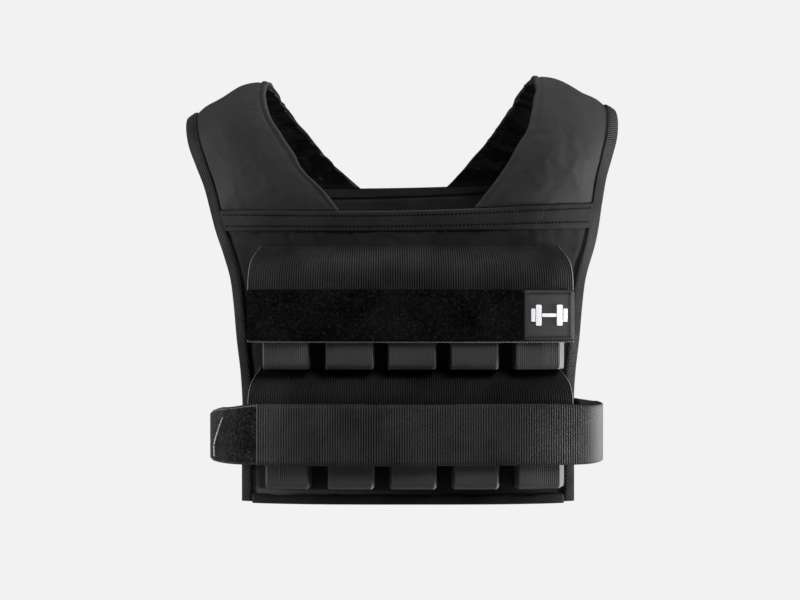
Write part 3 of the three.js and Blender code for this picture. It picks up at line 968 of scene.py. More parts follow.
class Effects:
    """The shared effects of the vest's finishes."""

    lint_scale = 1100.0

    def __init__(self) -> None:
        """Builds each effect once."""
        self.plain = self.plain_weave()
        self.herringbone = self.herringbone_weave()
        self.ribbed = self.ribbed_weave()
        self.pile = self.loop_pile()
        self.handling = self.handled()

    def plain_weave(self) -> bpy.types.NodeTree:
        """Threads over and under one another.

        Returns:
            The effect's node tree.
        """
        group = ShaderGroup("plain_weave", {"Place": None, "Pitch": 0.8}, ["Height"])
        nodes = group.nodes
        apart = nodes.add("ShaderNodeSeparateXYZ", {0: group.input["Place"]})
        turn = nodes.math("DIVIDE", 2 * math.pi, group.input["Pitch"])
        waves = [nodes.math("SINE", nodes.math("MULTIPLY", apart.outputs[k], turn)) for k in (0, 1)]
        group.put("Height", nodes.math("MULTIPLY_ADD", nodes.math("MULTIPLY", *waves), 0.5, 0.5))
        return group.tree

    def herringbone_weave(self) -> bpy.types.NodeTree:
        """Diagonal ribs that turn back at each width of the tape.

        Returns:
            The effect's node tree.
        """
        group = ShaderGroup("herringbone_weave", {"Place": None, "Pitch": 2.0, "Width": 9.0}, ["Height"])
        nodes = group.nodes
        apart = nodes.add("ShaderNodeSeparateXYZ", {0: group.input["Place"]})
        zigzag = nodes.math("PINGPONG", apart.outputs[1], group.input["Width"])
        slanted = nodes.math("ADD", apart.outputs[0], nodes.math("MULTIPLY", zigzag, 1.1))
        turn = nodes.math("DIVIDE", 2 * math.pi, group.input["Pitch"])
        wave = nodes.math("SINE", nodes.math("MULTIPLY", slanted, turn))
        group.put("Height", nodes.math("MULTIPLY_ADD", wave, 0.5, 0.5))
        return group.tree

    def ribbed_weave(self) -> bpy.types.NodeTree:
        """The threads that cross the ribs of webbing, and the furrows between the ribs, with their painted
        shade.

        Returns:
            The effect's node tree.
        """
        sockets = {"Place": None, "Pitch": 2.2, "Thread": 1.6}
        group = ShaderGroup("ribbed_weave", sockets, ["Height", "Furrow"])
        nodes = group.nodes
        apart = nodes.add("ShaderNodeSeparateXYZ", {0: group.input["Place"]})
        rib = nodes.math("DIVIDE", apart.outputs[0], group.input["Pitch"])
        crown = nodes.math("ABSOLUTE", nodes.math("SINE", nodes.math("MULTIPLY", rib, math.pi)))
        stagger = nodes.math("MULTIPLY", nodes.math("FLOOR", rib), 0.5)
        thread = nodes.math("ADD", nodes.math("DIVIDE", apart.outputs[1], group.input["Thread"]), stagger)
        wave = nodes.math("ABSOLUTE", nodes.math("SINE", nodes.math("MULTIPLY", thread, math.pi)))
        group.put("Height", nodes.math("MULTIPLY", wave, crown))
        # Painted shade: the furrows between the ribs are darkened.
        group.put("Furrow", nodes.math("SUBTRACT", 1.0, nodes.ramp(crown, 0.3, 0.92)))
        return group.tree

    def loop_pile(self) -> bpy.types.NodeTree:
        """Tangled loops.

        Returns:
            The effect's node tree.
        """
        group = ShaderGroup("loop_pile", {"Place": None, "Scale": 900.0}, ["Height", "Loops"])
        nodes = group.nodes
        place = {"Vector": group.input["Place"], "Scale": group.input["Scale"]}
        tangle = nodes.add("ShaderNodeTexNoise", {**place, "Detail": 3.0, "Distortion": 1.2}).outputs[0]
        cells = nodes.add("ShaderNodeTexVoronoi", place)
        group.put("Height", nodes.math("MULTIPLY_ADD", cells.outputs["Distance"], -0.6, tangle))
        group.put("Loops", nodes.ramp(tangle, 0.48, 0.68))
        return group.tree

    def handled(self) -> bpy.types.NodeTree:
        """Slow changes of shade and a few specks of lint, as on cloth that has been handled.

        Returns:
            The effect's node tree.
        """
        group = ShaderGroup("handled_cloth", {"Place": None, "Scale": 22.0}, ["Patches", "Lint"])
        nodes = group.nodes
        place = {"Vector": group.input["Place"], "Scale": group.input["Scale"]}
        patches = nodes.add("ShaderNodeTexNoise", {**place, "Detail": 4.0, "Roughness": 0.6}).outputs[0]
        fine = nodes.add("ShaderNodeTexNoise", {**place, "Scale": self.lint_scale, "Detail": 1.0})
        group.put("Patches", nodes.ramp(patches, 0.3, 0.7))
        group.put("Lint", nodes.ramp(fine.outputs[0], 0.72, 0.78))
        return group.tree


class Weave(Enum):
    """How a finish is woven or moulded."""

    PLAIN = "plain"
    SATIN = "satin"
    HERRINGBONE = "herringbone"
    RIBBED = "ribbed"
    PILE = "pile"
    MOULDED = "moulded"
    THREAD = "thread"


@dataclass(frozen=True)
class Finish:
    """One finish of the vest. Shades are grey, as shares of white; the rim's shade is the tone of cut edges
    and of painted highlights.
    """

    name: str
    weave: Weave
    shade: float
    light_shade: float
    rim_shade: float
    roughness: float
    pitch: float
    relief: float
    specular: float
    blue: float = 1.04

    def grey(self, shade: float) -> tuple[float, float, float, float]:
        """A shade as a colour, a little blue."""
        return (shade, shade, shade * self.blue, 1.0)

    def pattern(self, nodes: Nodes, effects: Effects, place: object, flat: object) -> tuple[object, object]:
        """Wires the weave.

        Args:
            nodes: The material's nodes.
            effects: The shared effects.
            place: Object coordinates.
            flat: The cloth's own map.

        Returns:
            The height of the weave, and its dark share, which for webbing is painted shade in the furrows
            and between the cross threads.
        """
        trees = {
            Weave.HERRINGBONE: effects.herringbone,
            Weave.RIBBED: effects.ribbed,
            Weave.PILE: effects.pile,
            Weave.MOULDED: effects.pile,
        }
        made = nodes.add("ShaderNodeGroup", node_tree=trees.get(self.weave, effects.plain))
        on_object = self.weave in (Weave.PILE, Weave.MOULDED)
        nodes.tree.links.new(place if on_object else flat, made.inputs["Place"])
        made.inputs["Scale" if on_object else "Pitch"].default_value = self.pitch
        height = made.outputs["Height"]
        if self.weave is Weave.RIBBED:
            # Painted shade: webbing is darker in its furrows and between its cross threads.
            threads = nodes.math("MULTIPLY_ADD", height, -0.45, 0.45)
            return height, nodes.math("ADD", made.outputs["Furrow"], threads)
        if self.weave is Weave.HERRINGBONE:
            return height, nodes.math("SUBTRACT", 1.0, nodes.ramp(height, 0.25, 0.8))
        if self.weave is Weave.PILE:
            return height, nodes.math("SUBTRACT", 1.0, made.outputs["Loops"])
        return height, nodes.math("SUBTRACT", 1.0, height)

    def material(self, effects: Effects) -> bpy.types.Material:
        """Makes the finish's material.

        Args:
            effects: The shared effects.

        Returns:
            The material.
        """
        made = bpy.data.materials.new(self.name)
        made.use_nodes = True
        made.node_tree.nodes.clear()
        nodes = Nodes(made.node_tree)
        place = nodes.add("ShaderNodeTexCoord").outputs["Object"]
        flat = nodes.add("ShaderNodeUVMap", uv_map="cloth").outputs[0]
        height, dark = self.pattern(nodes, effects, place, flat)
        handled = nodes.add("ShaderNodeGroup", {"Place": place}, node_tree=effects.handling)
        rim = nodes.add("ShaderNodeAttribute", attribute_name="rim").outputs["Fac"]
        light = nodes.add("ShaderNodeClamp", {"Value": nodes.math("SUBTRACT", 1.0, dark)}).outputs[0]
        woven = nodes.math("MULTIPLY", light, 0.7)
        share = nodes.math("MULTIPLY_ADD", handled.outputs["Patches"], 0.3, woven)
        colour = nodes.blend(self.grey(self.shade), self.grey(self.light_shade), share)
        # The attribute "rim" turns the colour to the rim's shade: the tone of cut edges, and painted
        # highlights where lamps fall on pocket sides, the belt's end, the tail's fold, the patch's border
        # and the panel's hem.
        colour = nodes.blend(colour, self.grey(self.rim_shade), nodes.ramp(rim, 0.3, 0.95))
        lint = nodes.math("MULTIPLY", handled.outputs["Lint"], 0.2)
        colour = nodes.blend(colour, self.grey(min(3 * self.light_shade, 0.8)), lint)
        rough = nodes.math("MULTIPLY_ADD", handled.outputs["Patches"], -0.08, self.roughness)
        bump = nodes.add("ShaderNodeBump", {"Strength": 0.8, "Distance": self.relief * MM, "Height": height})
        surface = nodes.add(
            "ShaderNodeBsdfPrincipled",
            {"Base Color": colour, "Roughness": rough, "Normal": bump.outputs[0]},
        )
        surface.inputs["Specular IOR Level"].default_value = self.specular
        nodes.add("ShaderNodeOutputMaterial", {"Surface": surface.outputs[0]})
        return made


class Finishes:
    """Every finish and its material."""

    band = Finish(
        "band_nylon", Weave.PLAIN, 0.006, 0.026, 0.06, 0.7, pitch=0.95, relief=0.2, specular=0.06,
    )
    # The nylon's rim shade also paints light on the panel along its hem and at its lower left.
    nylon = Finish(
        "woven_nylon", Weave.PLAIN, 0.003, 0.02, 0.07, 0.7, pitch=0.95, relief=0.2, specular=0.06,
    )
    strap = Finish(
        "strap_cloth", Weave.PLAIN, 0.012, 0.025, 0.025, 0.72, pitch=0.7, relief=0.1, specular=0.12,
    )
    satin = Finish(
        "satin_lining", Weave.SATIN, 0.001, 0.002, 0.004, 0.45, pitch=0.5, relief=0.03, specular=0.12,
    )
    lining = Finish(
        "panel_lining", Weave.PLAIN, 0.001, 0.004, 0.008, 0.6, pitch=0.9, relief=0.08, specular=0.06,
    )
    tape = Finish(
        "herringbone_tape", Weave.HERRINGBONE, 0.0, 0.036, 0.0, 0.6, pitch=3.0, relief=0.8, specular=0.06,
    )
    # Painted shade: the hem's tape is darker than the side tape, where the vest curves in below; its finer
    # weave is its own.
    hem = Finish(
        "hem_tape", Weave.HERRINGBONE, 0.003, 0.024, 0.0, 0.65, pitch=2.4, relief=0.4, specular=0.05,
    )
    # The webbing's rim shade lightens the flaps' cut ends and lower edge: their own tone, with painted
    # highlight.
    webbing = Finish(
        "ribbed_webbing", Weave.RIBBED, 0.0003, 0.031, 0.16, 0.55, pitch=2.2, relief=0.4, specular=0.06,
    )
    # Painted shade: the flap webbing made darker, for the lower flap under the upper pockets and for the
    # belt's inside.
    shaded = Finish(
        "lower_flap_webbing", Weave.RIBBED, 0.0002, 0.017, 0.14, 0.55, pitch=2.2, relief=0.4, specular=0.05,
    )
    # The belt's rim shade lightens its cut edges and paints a highlight on its right end.
    belt = Finish(
        "belt_webbing", Weave.RIBBED, 0.0005, 0.041, 0.1, 0.5, pitch=2.3, relief=0.4, specular=0.12,
    )
    # The pocket webbing's rim shade is only a painted highlight on the pockets' right sides.
    pouch = Finish(
        "pocket_webbing", Weave.RIBBED, 0.032, 0.052, 0.13, 0.55, pitch=2.0, relief=0.12, specular=0.1,
    )
    pile = Finish(
        "loop_pile", Weave.PILE, 0.0003, 0.014, 0.0, 0.9, pitch=480, relief=0.8, specular=0.02,
    )
    # The tail pile's rim shade paints a highlight on the fold's crest and light beyond it, and lightens its
    # edges.
    tail_pile = Finish(
        "tail_pile", Weave.PILE, 0.001, 0.034, 0.36, 0.8, pitch=560, relief=0.8, specular=0.05,
    )
    # The rubber's rim shade is a painted highlight on the patch's raised border.
    rubber = Finish(
        "patch_rubber", Weave.MOULDED, 0.015, 0.019, 0.05, 0.6, pitch=1500, relief=0.03, specular=0.08,
    )
    white = Finish(
        "white_rubber", Weave.MOULDED, 0.78, 0.82, 0.8, 0.5, pitch=1500, relief=0.02, specular=0.4,
    )
    thread = Finish(
        "black_thread", Weave.THREAD, 0.0003, 0.0005, 0.0005, 0.9, pitch=0.4, relief=0.05, specular=0.02,
    )

    def __init__(self) -> None:
        """Makes the materials."""
        effects = Effects()
        self.made = {
            finish.name: finish.material(effects)
            for finish in vars(type(self)).values()
            if isinstance(finish, Finish)
        }

    def dress(
        self,
        piece: bpy.types.Object,
        finishes: Sequence[Finish],
        nodes: Sequence[str] = (),
    ) -> bpy.types.Object:
        """Gives a piece its finishes and its place on the frame.

        Args:
            piece: The piece.
            finishes: Its finish, and a second one for the wearer's side where it has one.
            nodes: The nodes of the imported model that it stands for.

        Returns:
            The piece.
        """
        piece.data.materials.clear()
        for finish in finishes:
            piece.data.materials.append(self.made[finish.name])
        if len(finishes) == 1:
            piece.data.polygons.foreach_set("material_index", np.zeros(len(piece.data.polygons), np.int32))
        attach(piece, "root")
        if nodes:
            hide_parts(*nodes)
        log.info("%s: %d faces", piece.name, len(piece.data.polygons))
        return piece


# Pieces


@dataclass(frozen=True)
class Crease:
    """A fold in a panel: a furrow between two points, with soft cloth raised beside it."""

    start: tuple[float, float]
    end: tuple[float, float]
    depth: float
    width: float
    raised: float = 0.6
    raised_at: float = 1.7

    def height(self, x: Array, z: Array) -> Array:
        """How far the fold moves the cloth out.

        Args:
            x: Place across the panel.
            z: Height.

        Returns:
            The distance, below 0 in the furrow.
        """
        (x0, z0), (x1, z1) = self.start, self.end
        run = np.array([x1 - x0, z1 - z0])
        along = np.clip(((x - x0) * run[0] + (z - z0) * run[1]) / (run @ run), 0, 1)
        away = np.hypot(x - x0 - along * run[0], z - z0 - along * run[1]) / self.width
        return self.depth * (self.raised * hump(away - self.raised_at, 1) - hump(away, 1))


@dataclass
class Panel:
    """The padded cloth of the front or the back, with the stitched band along its neckline."""

    garment: Garment
    facing: Facing
    node: str
    band_node: str
    column_pitch: float = 2.6
    row_pitch: float = 2.6
    thread: Thread = Thread(3.5, 2.1, 0.75, 0.6)
    stitch_drops: tuple[float, float] = (4.0, 13.8)
    hem_width: float = 7.2
    facing_run: float = 26.0
    facing_pitch: float = 0.9
    seam_drop: float = 10.5
    seam_slant: float = 2.6
    sag: Slack = Slack(0.35, 26, 3)
    rumple: Slack = Slack(0.2, 9, 4)
    gathers: Slack = Slack(0.7, 4.5, 5)
    gathers_reach: float = 6.0
    by_binding: Furrow = Furrow(0.9, 1.6, 1.5)
    by_hem: Furrow = Furrow(0.8, 1.5, 1.2)
    lining_sag: Slack = Slack(0.25, 14, 8)
    lining_seam: Furrow = Furrow(2.2, 1.1, -0.6)
    band_slack: Slack = Slack(0.22, 6.5, 11)
    band_rumple: Slack = Slack(0.12, 3.5, 12)
    stitch_furrow: Furrow = Furrow(0.25, 1.1)
    creases: tuple[Crease, ...] = (
        Crease((-84, -149), (-83, -160), 0.8, 2.2),
        Crease((-110, -152), (-107, -161), 0.9, 3.0),
        Crease((-52, -150), (-47, -161), 0.9, 2.6),
        Crease((-22, -153), (-6, -160), 0.7, 3.5),
        Crease((30, -148), (22, -161), 1.3, 2.4),
        Crease((66, -150), (60, -161), 0.25, 5.0),
        Crease((94, -160), (112, -154), 0.5, 5.0),
        Crease((124, -157), (150, -163), 0.8, 4.0),
        Crease((-146, -168), (-141, -215), 0.7, 4.0),
        Crease((143, -185), (146, -230), 0.7, 4.0),
        Crease((-158, -152), (-140, -162), 0.6, 5.0),
    )

    @property
    def top(self) -> float:
        """Height of the neckline."""
        return self.garment.cut.front_top if self.facing is Facing.FRONT else self.garment.cut.back_top

    def relief(self, x: Array, z: Array) -> Array:
        """How far the outside of the panel lies out of its even thickness.

        Args:
            x: Place across the panel.
            z: Height.

        Returns:
            The distance, never outwards where something is sewn on.
        """
        cut = self.garment.cut
        edge = self.garment.side_edge(z) - np.abs(x)
        out = self.sag.at(x, z) + self.rumple.at(x, z)
        band_foot = self.top - cut.band_width
        out = out + fading(band_foot - z, self.gathers_reach) * self.gathers.at(x, z * 0.2)
        out = out + sum(crease.height(x, z) for crease in self.creases)
        out = out - self.by_binding.at(edge - cut.binding_width)
        out = out - self.by_hem.at(z - cut.hem - self.hem_width)
        by_flap = (np.abs(x - cut.row_shift) < cut.flap_half + 0.5) & (z < cut.flap_top(0) + 1.5)
        by_band = z > band_foot - 0.8
        by_tape = (edge < cut.binding_width + 0.6) | (z < cut.hem + self.hem_width + 0.6)
        return np.where(by_flap | by_band | by_tape, np.minimum(out, 0) * 0.3, np.minimum(out, 1.4))

    def build_cloth(self) -> bpy.types.Object:
        """Builds the panel's two faces, its inner one with the facing band and its seam.

        Returns:
            The panel's cloth.
        """
        cut, garment = self.garment.cut, self.garment
        foot = cut.hem + cut.edge_inset
        every = 2
        columns = round(2 * cut.chest_half_width / self.column_pitch / every) * every
        share = np.linspace(-1, 1, columns + 1)
        facing_foot = self.top - self.facing_run
        rows = np.r_[
            np.arange(self.top, facing_foot, -self.facing_pitch),
            np.linspace(facing_foot, foot, round((facing_foot - foot) / self.row_pitch)),
        ]
        z = rows[:, None] + 0 * share[None, :]
        x = share[None, :] * (garment.side_edge(z) - cut.edge_inset)
        outer = garment.off_panel(self.facing, x, z, cut.panel_wall + self.relief(x, z))
        seam = self.seam_drop - self.seam_slant * x / cut.chest_half_width
        down = self.top - z
        lining = smooth(down - seam, 0.6, 1.6)
        inside = 0.5 - 1.5 * lining * fading(down - seam - 2, 30)
        inside = inside + self.lining_seam.at(down - seam) + self.lining_sag.at(x, z)
        inner = garment.off_panel(self.facing, x, z, inside)[:, ::every]
        cloth = cloth_wall(self.node + "_cloth", outer, inner, cloth_map(outer), bulge=0.8)
        # Painted light: the cloth is lighter along the hem, more on the left, and up the lower left corner,
        # as where the light falls on it.
        by_hem = 1 - smooth(z - cut.hem - self.hem_width, 1.5, 9.0)
        by_corner = (1 - smooth(z - cut.hem, 25, 45)) * smooth(-x - cut.row_shift, 128, 142)
        lit = 0.75 * np.maximum(by_hem, by_corner) * smooth(-x, -60, 120) + 0.35 * by_hem
        mark_rim(cloth, np.r_[lit.ravel(), np.zeros(len(cloth.data.vertices) - lit.size)])
        return cloth

    def band_relief(self, x: Array, down: Array) -> Array:
        """How the neckline's band is drawn down by its rows of stitches.

        Args:
            x: Place across the panel.
            down: Distance from the band's upper edge.

        Returns:
            How far the band's face lies out of its even thickness.
        """
        out = self.band_slack.at(x, down * 0.5) + self.band_rumple.at(x, down)
        held = 0.35 + 0.65 * np.abs(np.sin(math.pi * x / self.thread.pitch))
        for drop in self.stitch_drops:
            out = out - held * self.stitch_furrow.at(down - drop)
        return out - 0.5 * fading(down, 0.8) - 0.7 * fading(self.garment.cut.band_width - down, 1.6)

    def build_band(self) -> bpy.types.Object:
        """Builds the stitched band along the neckline.

        Returns:
            The band.
        """
        cut, garment = self.garment.cut, self.garment
        every = 4
        share = np.linspace(-1, 1, 125 * every + 1)
        down = np.linspace(0, cut.band_width, 31)[:, None]
        z = self.top - down + 0 * share[None, :]
        x = share[None, :] * (garment.side_edge(z) - cut.binding_width - cut.gap)
        seat = cut.panel_wall + cut.gap
        outer = garment.off_panel(self.facing, x, z, seat + cut.band_wall + self.band_relief(x, down))
        inner = garment.off_panel(self.facing, x, z, seat)[:, ::every]
        shown = (0.55, 0.3, 0.2, 0.3)
        name = self.band_node + "_cloth"
        return cloth_wall(name, outer, inner, cloth_map(outer), cut_edges=shown)

    def build_stitches(self) -> bpy.types.Object:
        """Sews the band's two rows of stitches.

        Returns:
            The stitches.
        """
        cut, garment = self.garment.cut, self.garment
        rows = []
        for drop in self.stitch_drops:
            z = np.full(400, self.top - drop)
            reach = garment.side_edge(z) - cut.binding_width - 1.5
            x = np.linspace(-1, 1, len(z)) * reach
            out = cut.panel_wall + cut.gap + cut.band_wall + self.band_relief(x, np.full(len(z), drop))
            points = garment.off_panel(self.facing, x, z, out + 0.12)
            rows.append((points, garment.off_panel(self.facing, x, z, out + 1) - points))
        return self.thread.sew(self.band_node + "_stitches", rows)

    def make(self, finishes: Finishes) -> None:
        """Builds and dresses the panel, its band and the band's stitches.

        Args:
            finishes: The vest's finishes.
        """
        cut = self.garment.cut
        cloth = finishes.dress(self.build_cloth(), (Finishes.nylon, Finishes.lining), [self.node])
        height = self.top - cut.hem
        band = finishes.dress(self.build_band(), (Finishes.band, Finishes.band), [self.band_node])
        stitches = finishes.dress(self.build_stitches(), (Finishes.thread,))


@dataclass
class Strap:
    """A padded shoulder strap and the satin under it."""

    garment: Garment
    side: Side
    rows: int = 190
    columns: int = 52
    seam: float = 4.2
    pad_rise: float = 30.0
    hollow: float = 3.6
    hollow_place: float = 32.0
    hollow_run: float = 0.16
    hollow_width: float = 17.0
    arch: float = 420.0
    lining_arch: float = 430.0
    fold_pitch: float = 25.0
    fold_slant: float = 26.0
    pad_slack: Slack = Slack(0.5, 34, 20)
    pad_rumple: Slack = Slack(0.2, 11, 29)
    seam_gathers: Slack = Slack(0.5, 8, 23)
    end_gathers: Slack = Slack(0.6, 7, 25)
    seam_furrow: Furrow = Furrow(0.9, 0.8)
    wander: Slack = Slack(1.7, 20, 31)
    fold_drift: Slack = Slack(11, 34, 41)
    satin_rumple: Slack = Slack(0.7, 7, 44)
    thread: Thread = Thread(2.8, 1.8, 0.22, 0.3)

    @property
    def name(self) -> str:
        """Which strap, in a word."""
        return self.side.word

    def places(self, rows: int, columns: int) -> tuple[Array, Array, Array]:
        """A grid over the strap.

        Args:
            rows: Places along the arch.
            columns: Places across the strap.

        Returns:
            Share of the arch, distance from the outer edge and the strap's width, for each place.
        """
        cut = self.garment.cut
        start = cut.gap / (cut.front_neck_drop + cut.torso_half_depth)
        turn = np.linspace(start, 1 - start, rows)[:, None]
        outer, inner = self.garment.strap_edges(turn)
        width = outer - inner
        share = np.linspace(0, 1, columns)[None, :]
        return turn + 0 * share, cut.edge_inset + (width - cut.edge_inset) * share, width + 0 * share

    def pad(self, turn: Array, from_edge: Array, width: Array) -> Array:
        """Thickness of the strap's padded shell.

        Args:
            turn: Share of the arch.
            from_edge: Distance from the outer edge.
            width: The strap's width there.

        Returns:
            The thickness.
        """
        cut = self.garment.cut
        which = self.side.value
        along = turn * self.arch
        from_end = np.minimum(turn, 1 - turn) * math.pi * cut.torso_half_depth
        to_inner = width - from_edge
        from_seam = np.minimum(np.minimum(from_edge - cut.binding_width, to_inner - self.seam), from_end)
        full = np.minimum(from_seam / self.pad_rise, 1.0).clip(0)
        full = full * (2 - full)
        wall = cut.strap_edge_wall + (cut.strap_pad_wall - cut.strap_edge_wall) * full
        wall = wall + full * self.pad_slack.at(along, from_edge, which)
        wall = wall + self.pad_rumple.at(along, from_edge, which)
        wall = wall + 0.5 * hump(to_inner - 2.0, 1.6) - self.seam_furrow.at(to_inner - self.seam)
        by_seam, by_end = fading(to_inner - self.seam, 7), fading(from_end, 9)
        wall = wall + by_seam * self.seam_gathers.at(along, from_edge * 0.3, which)
        wall = wall + by_end * self.end_gathers.at(from_edge, along * 0.3, which)
        from_hollow = (from_edge - self.hollow_place) / self.hollow_width
        hollow = np.exp(-(((turn - 0.5) / self.hollow_run) ** 2) - from_hollow**2)
        wall = wall - self.hollow * hollow * full
        tape_edge = cut.binding_width + 0.4
        rim = smooth(from_edge, tape_edge, cut.binding_width + 3)
        beside = cut.strap_edge_wall * (1 - rim) + wall * rim
        return np.where(from_edge < tape_edge, cut.strap_edge_wall - 0.3, beside)

    def wobble(self, turn: Array, share: Array) -> Array:
        """How far the inner edge wanders."""
        return self.wander.at(turn * self.arch, 0 * turn, self.side.value) * share**6

    def build_shell(self) -> bpy.types.Object:
        """Builds the padded shell.

        Returns:
            The shell.
        """
        cut, garment = self.garment.cut, self.garment
        turn, from_edge, width = self.places(self.rows, self.columns)
        share = from_edge / width
        wandering = from_edge + self.wobble(turn, share)
        seat = cut.lining_wall + cut.gap
        wall = self.pad(turn, from_edge, width)
        outer = garment.off_strap(self.side, turn, wandering, seat + wall)
        ends = smooth(np.minimum(turn, 1 - turn), 0.01, 0.05)
        edges = smooth(np.minimum(from_edge - cut.binding_width, width - from_edge - self.seam), 0, 9)
        outer = settled(outer, 0.004, 0.6, ends * edges)
        every = 3
        inner = garment.off_strap(self.side, turn, wandering, seat)[:, ::every]
        return cloth_wall(f"strap_pad_{self.name}", outer, inner, cloth_map(outer), bulge=1.1)

    def build_lining(self) -> bpy.types.Object:
        """Builds the satin, gathered towards its inner edge.

        Returns:
            The satin.
        """
        cut, garment = self.garment.cut, self.garment
        turn, from_edge, width = self.places(200, 43)
        share = from_edge / width
        run = turn * self.lining_arch
        along = run + self.fold_slant * share + self.fold_drift.at(run, from_edge, self.side.value)
        puffs = np.abs(np.sin(math.pi * along / self.fold_pitch)) ** 0.6
        free = smooth(share, 0.25, 0.8) * smooth(np.minimum(turn, 1 - turn), 0.0, 0.1)
        depth = -(3.2 * puffs + self.satin_rumple.at(run, from_edge * 0.4)) * free
        edge = (4.2 * puffs - 1.5) * smooth(share, 0.6, 1)
        edge = edge * smooth(turn, 0.45, 0.6) * smooth(1 - turn, 0.02, 0.1)
        inner = garment.off_strap(self.side, turn, from_edge + edge, depth)
        inner = settled(inner, 0.018, 1.4, free * smooth(1 - share, 0.0, 0.12))
        outer = garment.off_strap(self.side, turn, from_edge + edge, cut.lining_wall)
        return cloth_wall(f"strap_satin_{self.name}", outer, inner, cloth_map(outer), bulge=0.3)

    def build_stitches(self) -> bpy.types.Object:
        """Sews the row along the inner seam.

        Returns:
            The stitches.
        """
        cut, garment = self.garment.cut, self.garment
        turn, _, width = self.places(400, 2)
        turn, width = turn[:, 0], width[:, 0]
        from_edge = width - self.seam
        place = from_edge + self.wobble(turn, from_edge / width)
        out = cut.lining_wall + cut.gap + self.pad(turn, from_edge, width)
        points = garment.off_strap(self.side, turn, place, out + 0.1)
        outs = garment.off_strap(self.side, turn, place, out + 1) - points
        return self.thread.sew(f"strap_stitches_{self.name}", [(points, outs)])

    def make(self, finishes: Finishes) -> None:
        """Builds and dresses the strap, its lining and its stitches.

        Args:
            finishes: The vest's finishes.
        """
        shell, faces = self.build_shell(), (Finishes.strap, Finishes.lining)
        finishes.dress(shell, faces, [f"shoulder_strap_{self.name}"])
        satin = self.build_lining()
        finishes.dress(satin, (Finishes.satin, Finishes.satin), [f"strap_lining_{self.name}"])
        finishes.dress(self.build_stitches(), (Finishes.thread,))


@dataclass(frozen=True)
class Run:
    """A run of tape along an edge.

    Its surface gives points by place along the edge, level on the cloth and distance out. A level
    is a distance from the edge or a height, as the surface takes it.
    """

    node: str
    finish: Finish
    sample: Array
    surface: Callable
    level: Callable
    middle: float
    seam: float
    slant: float = 1


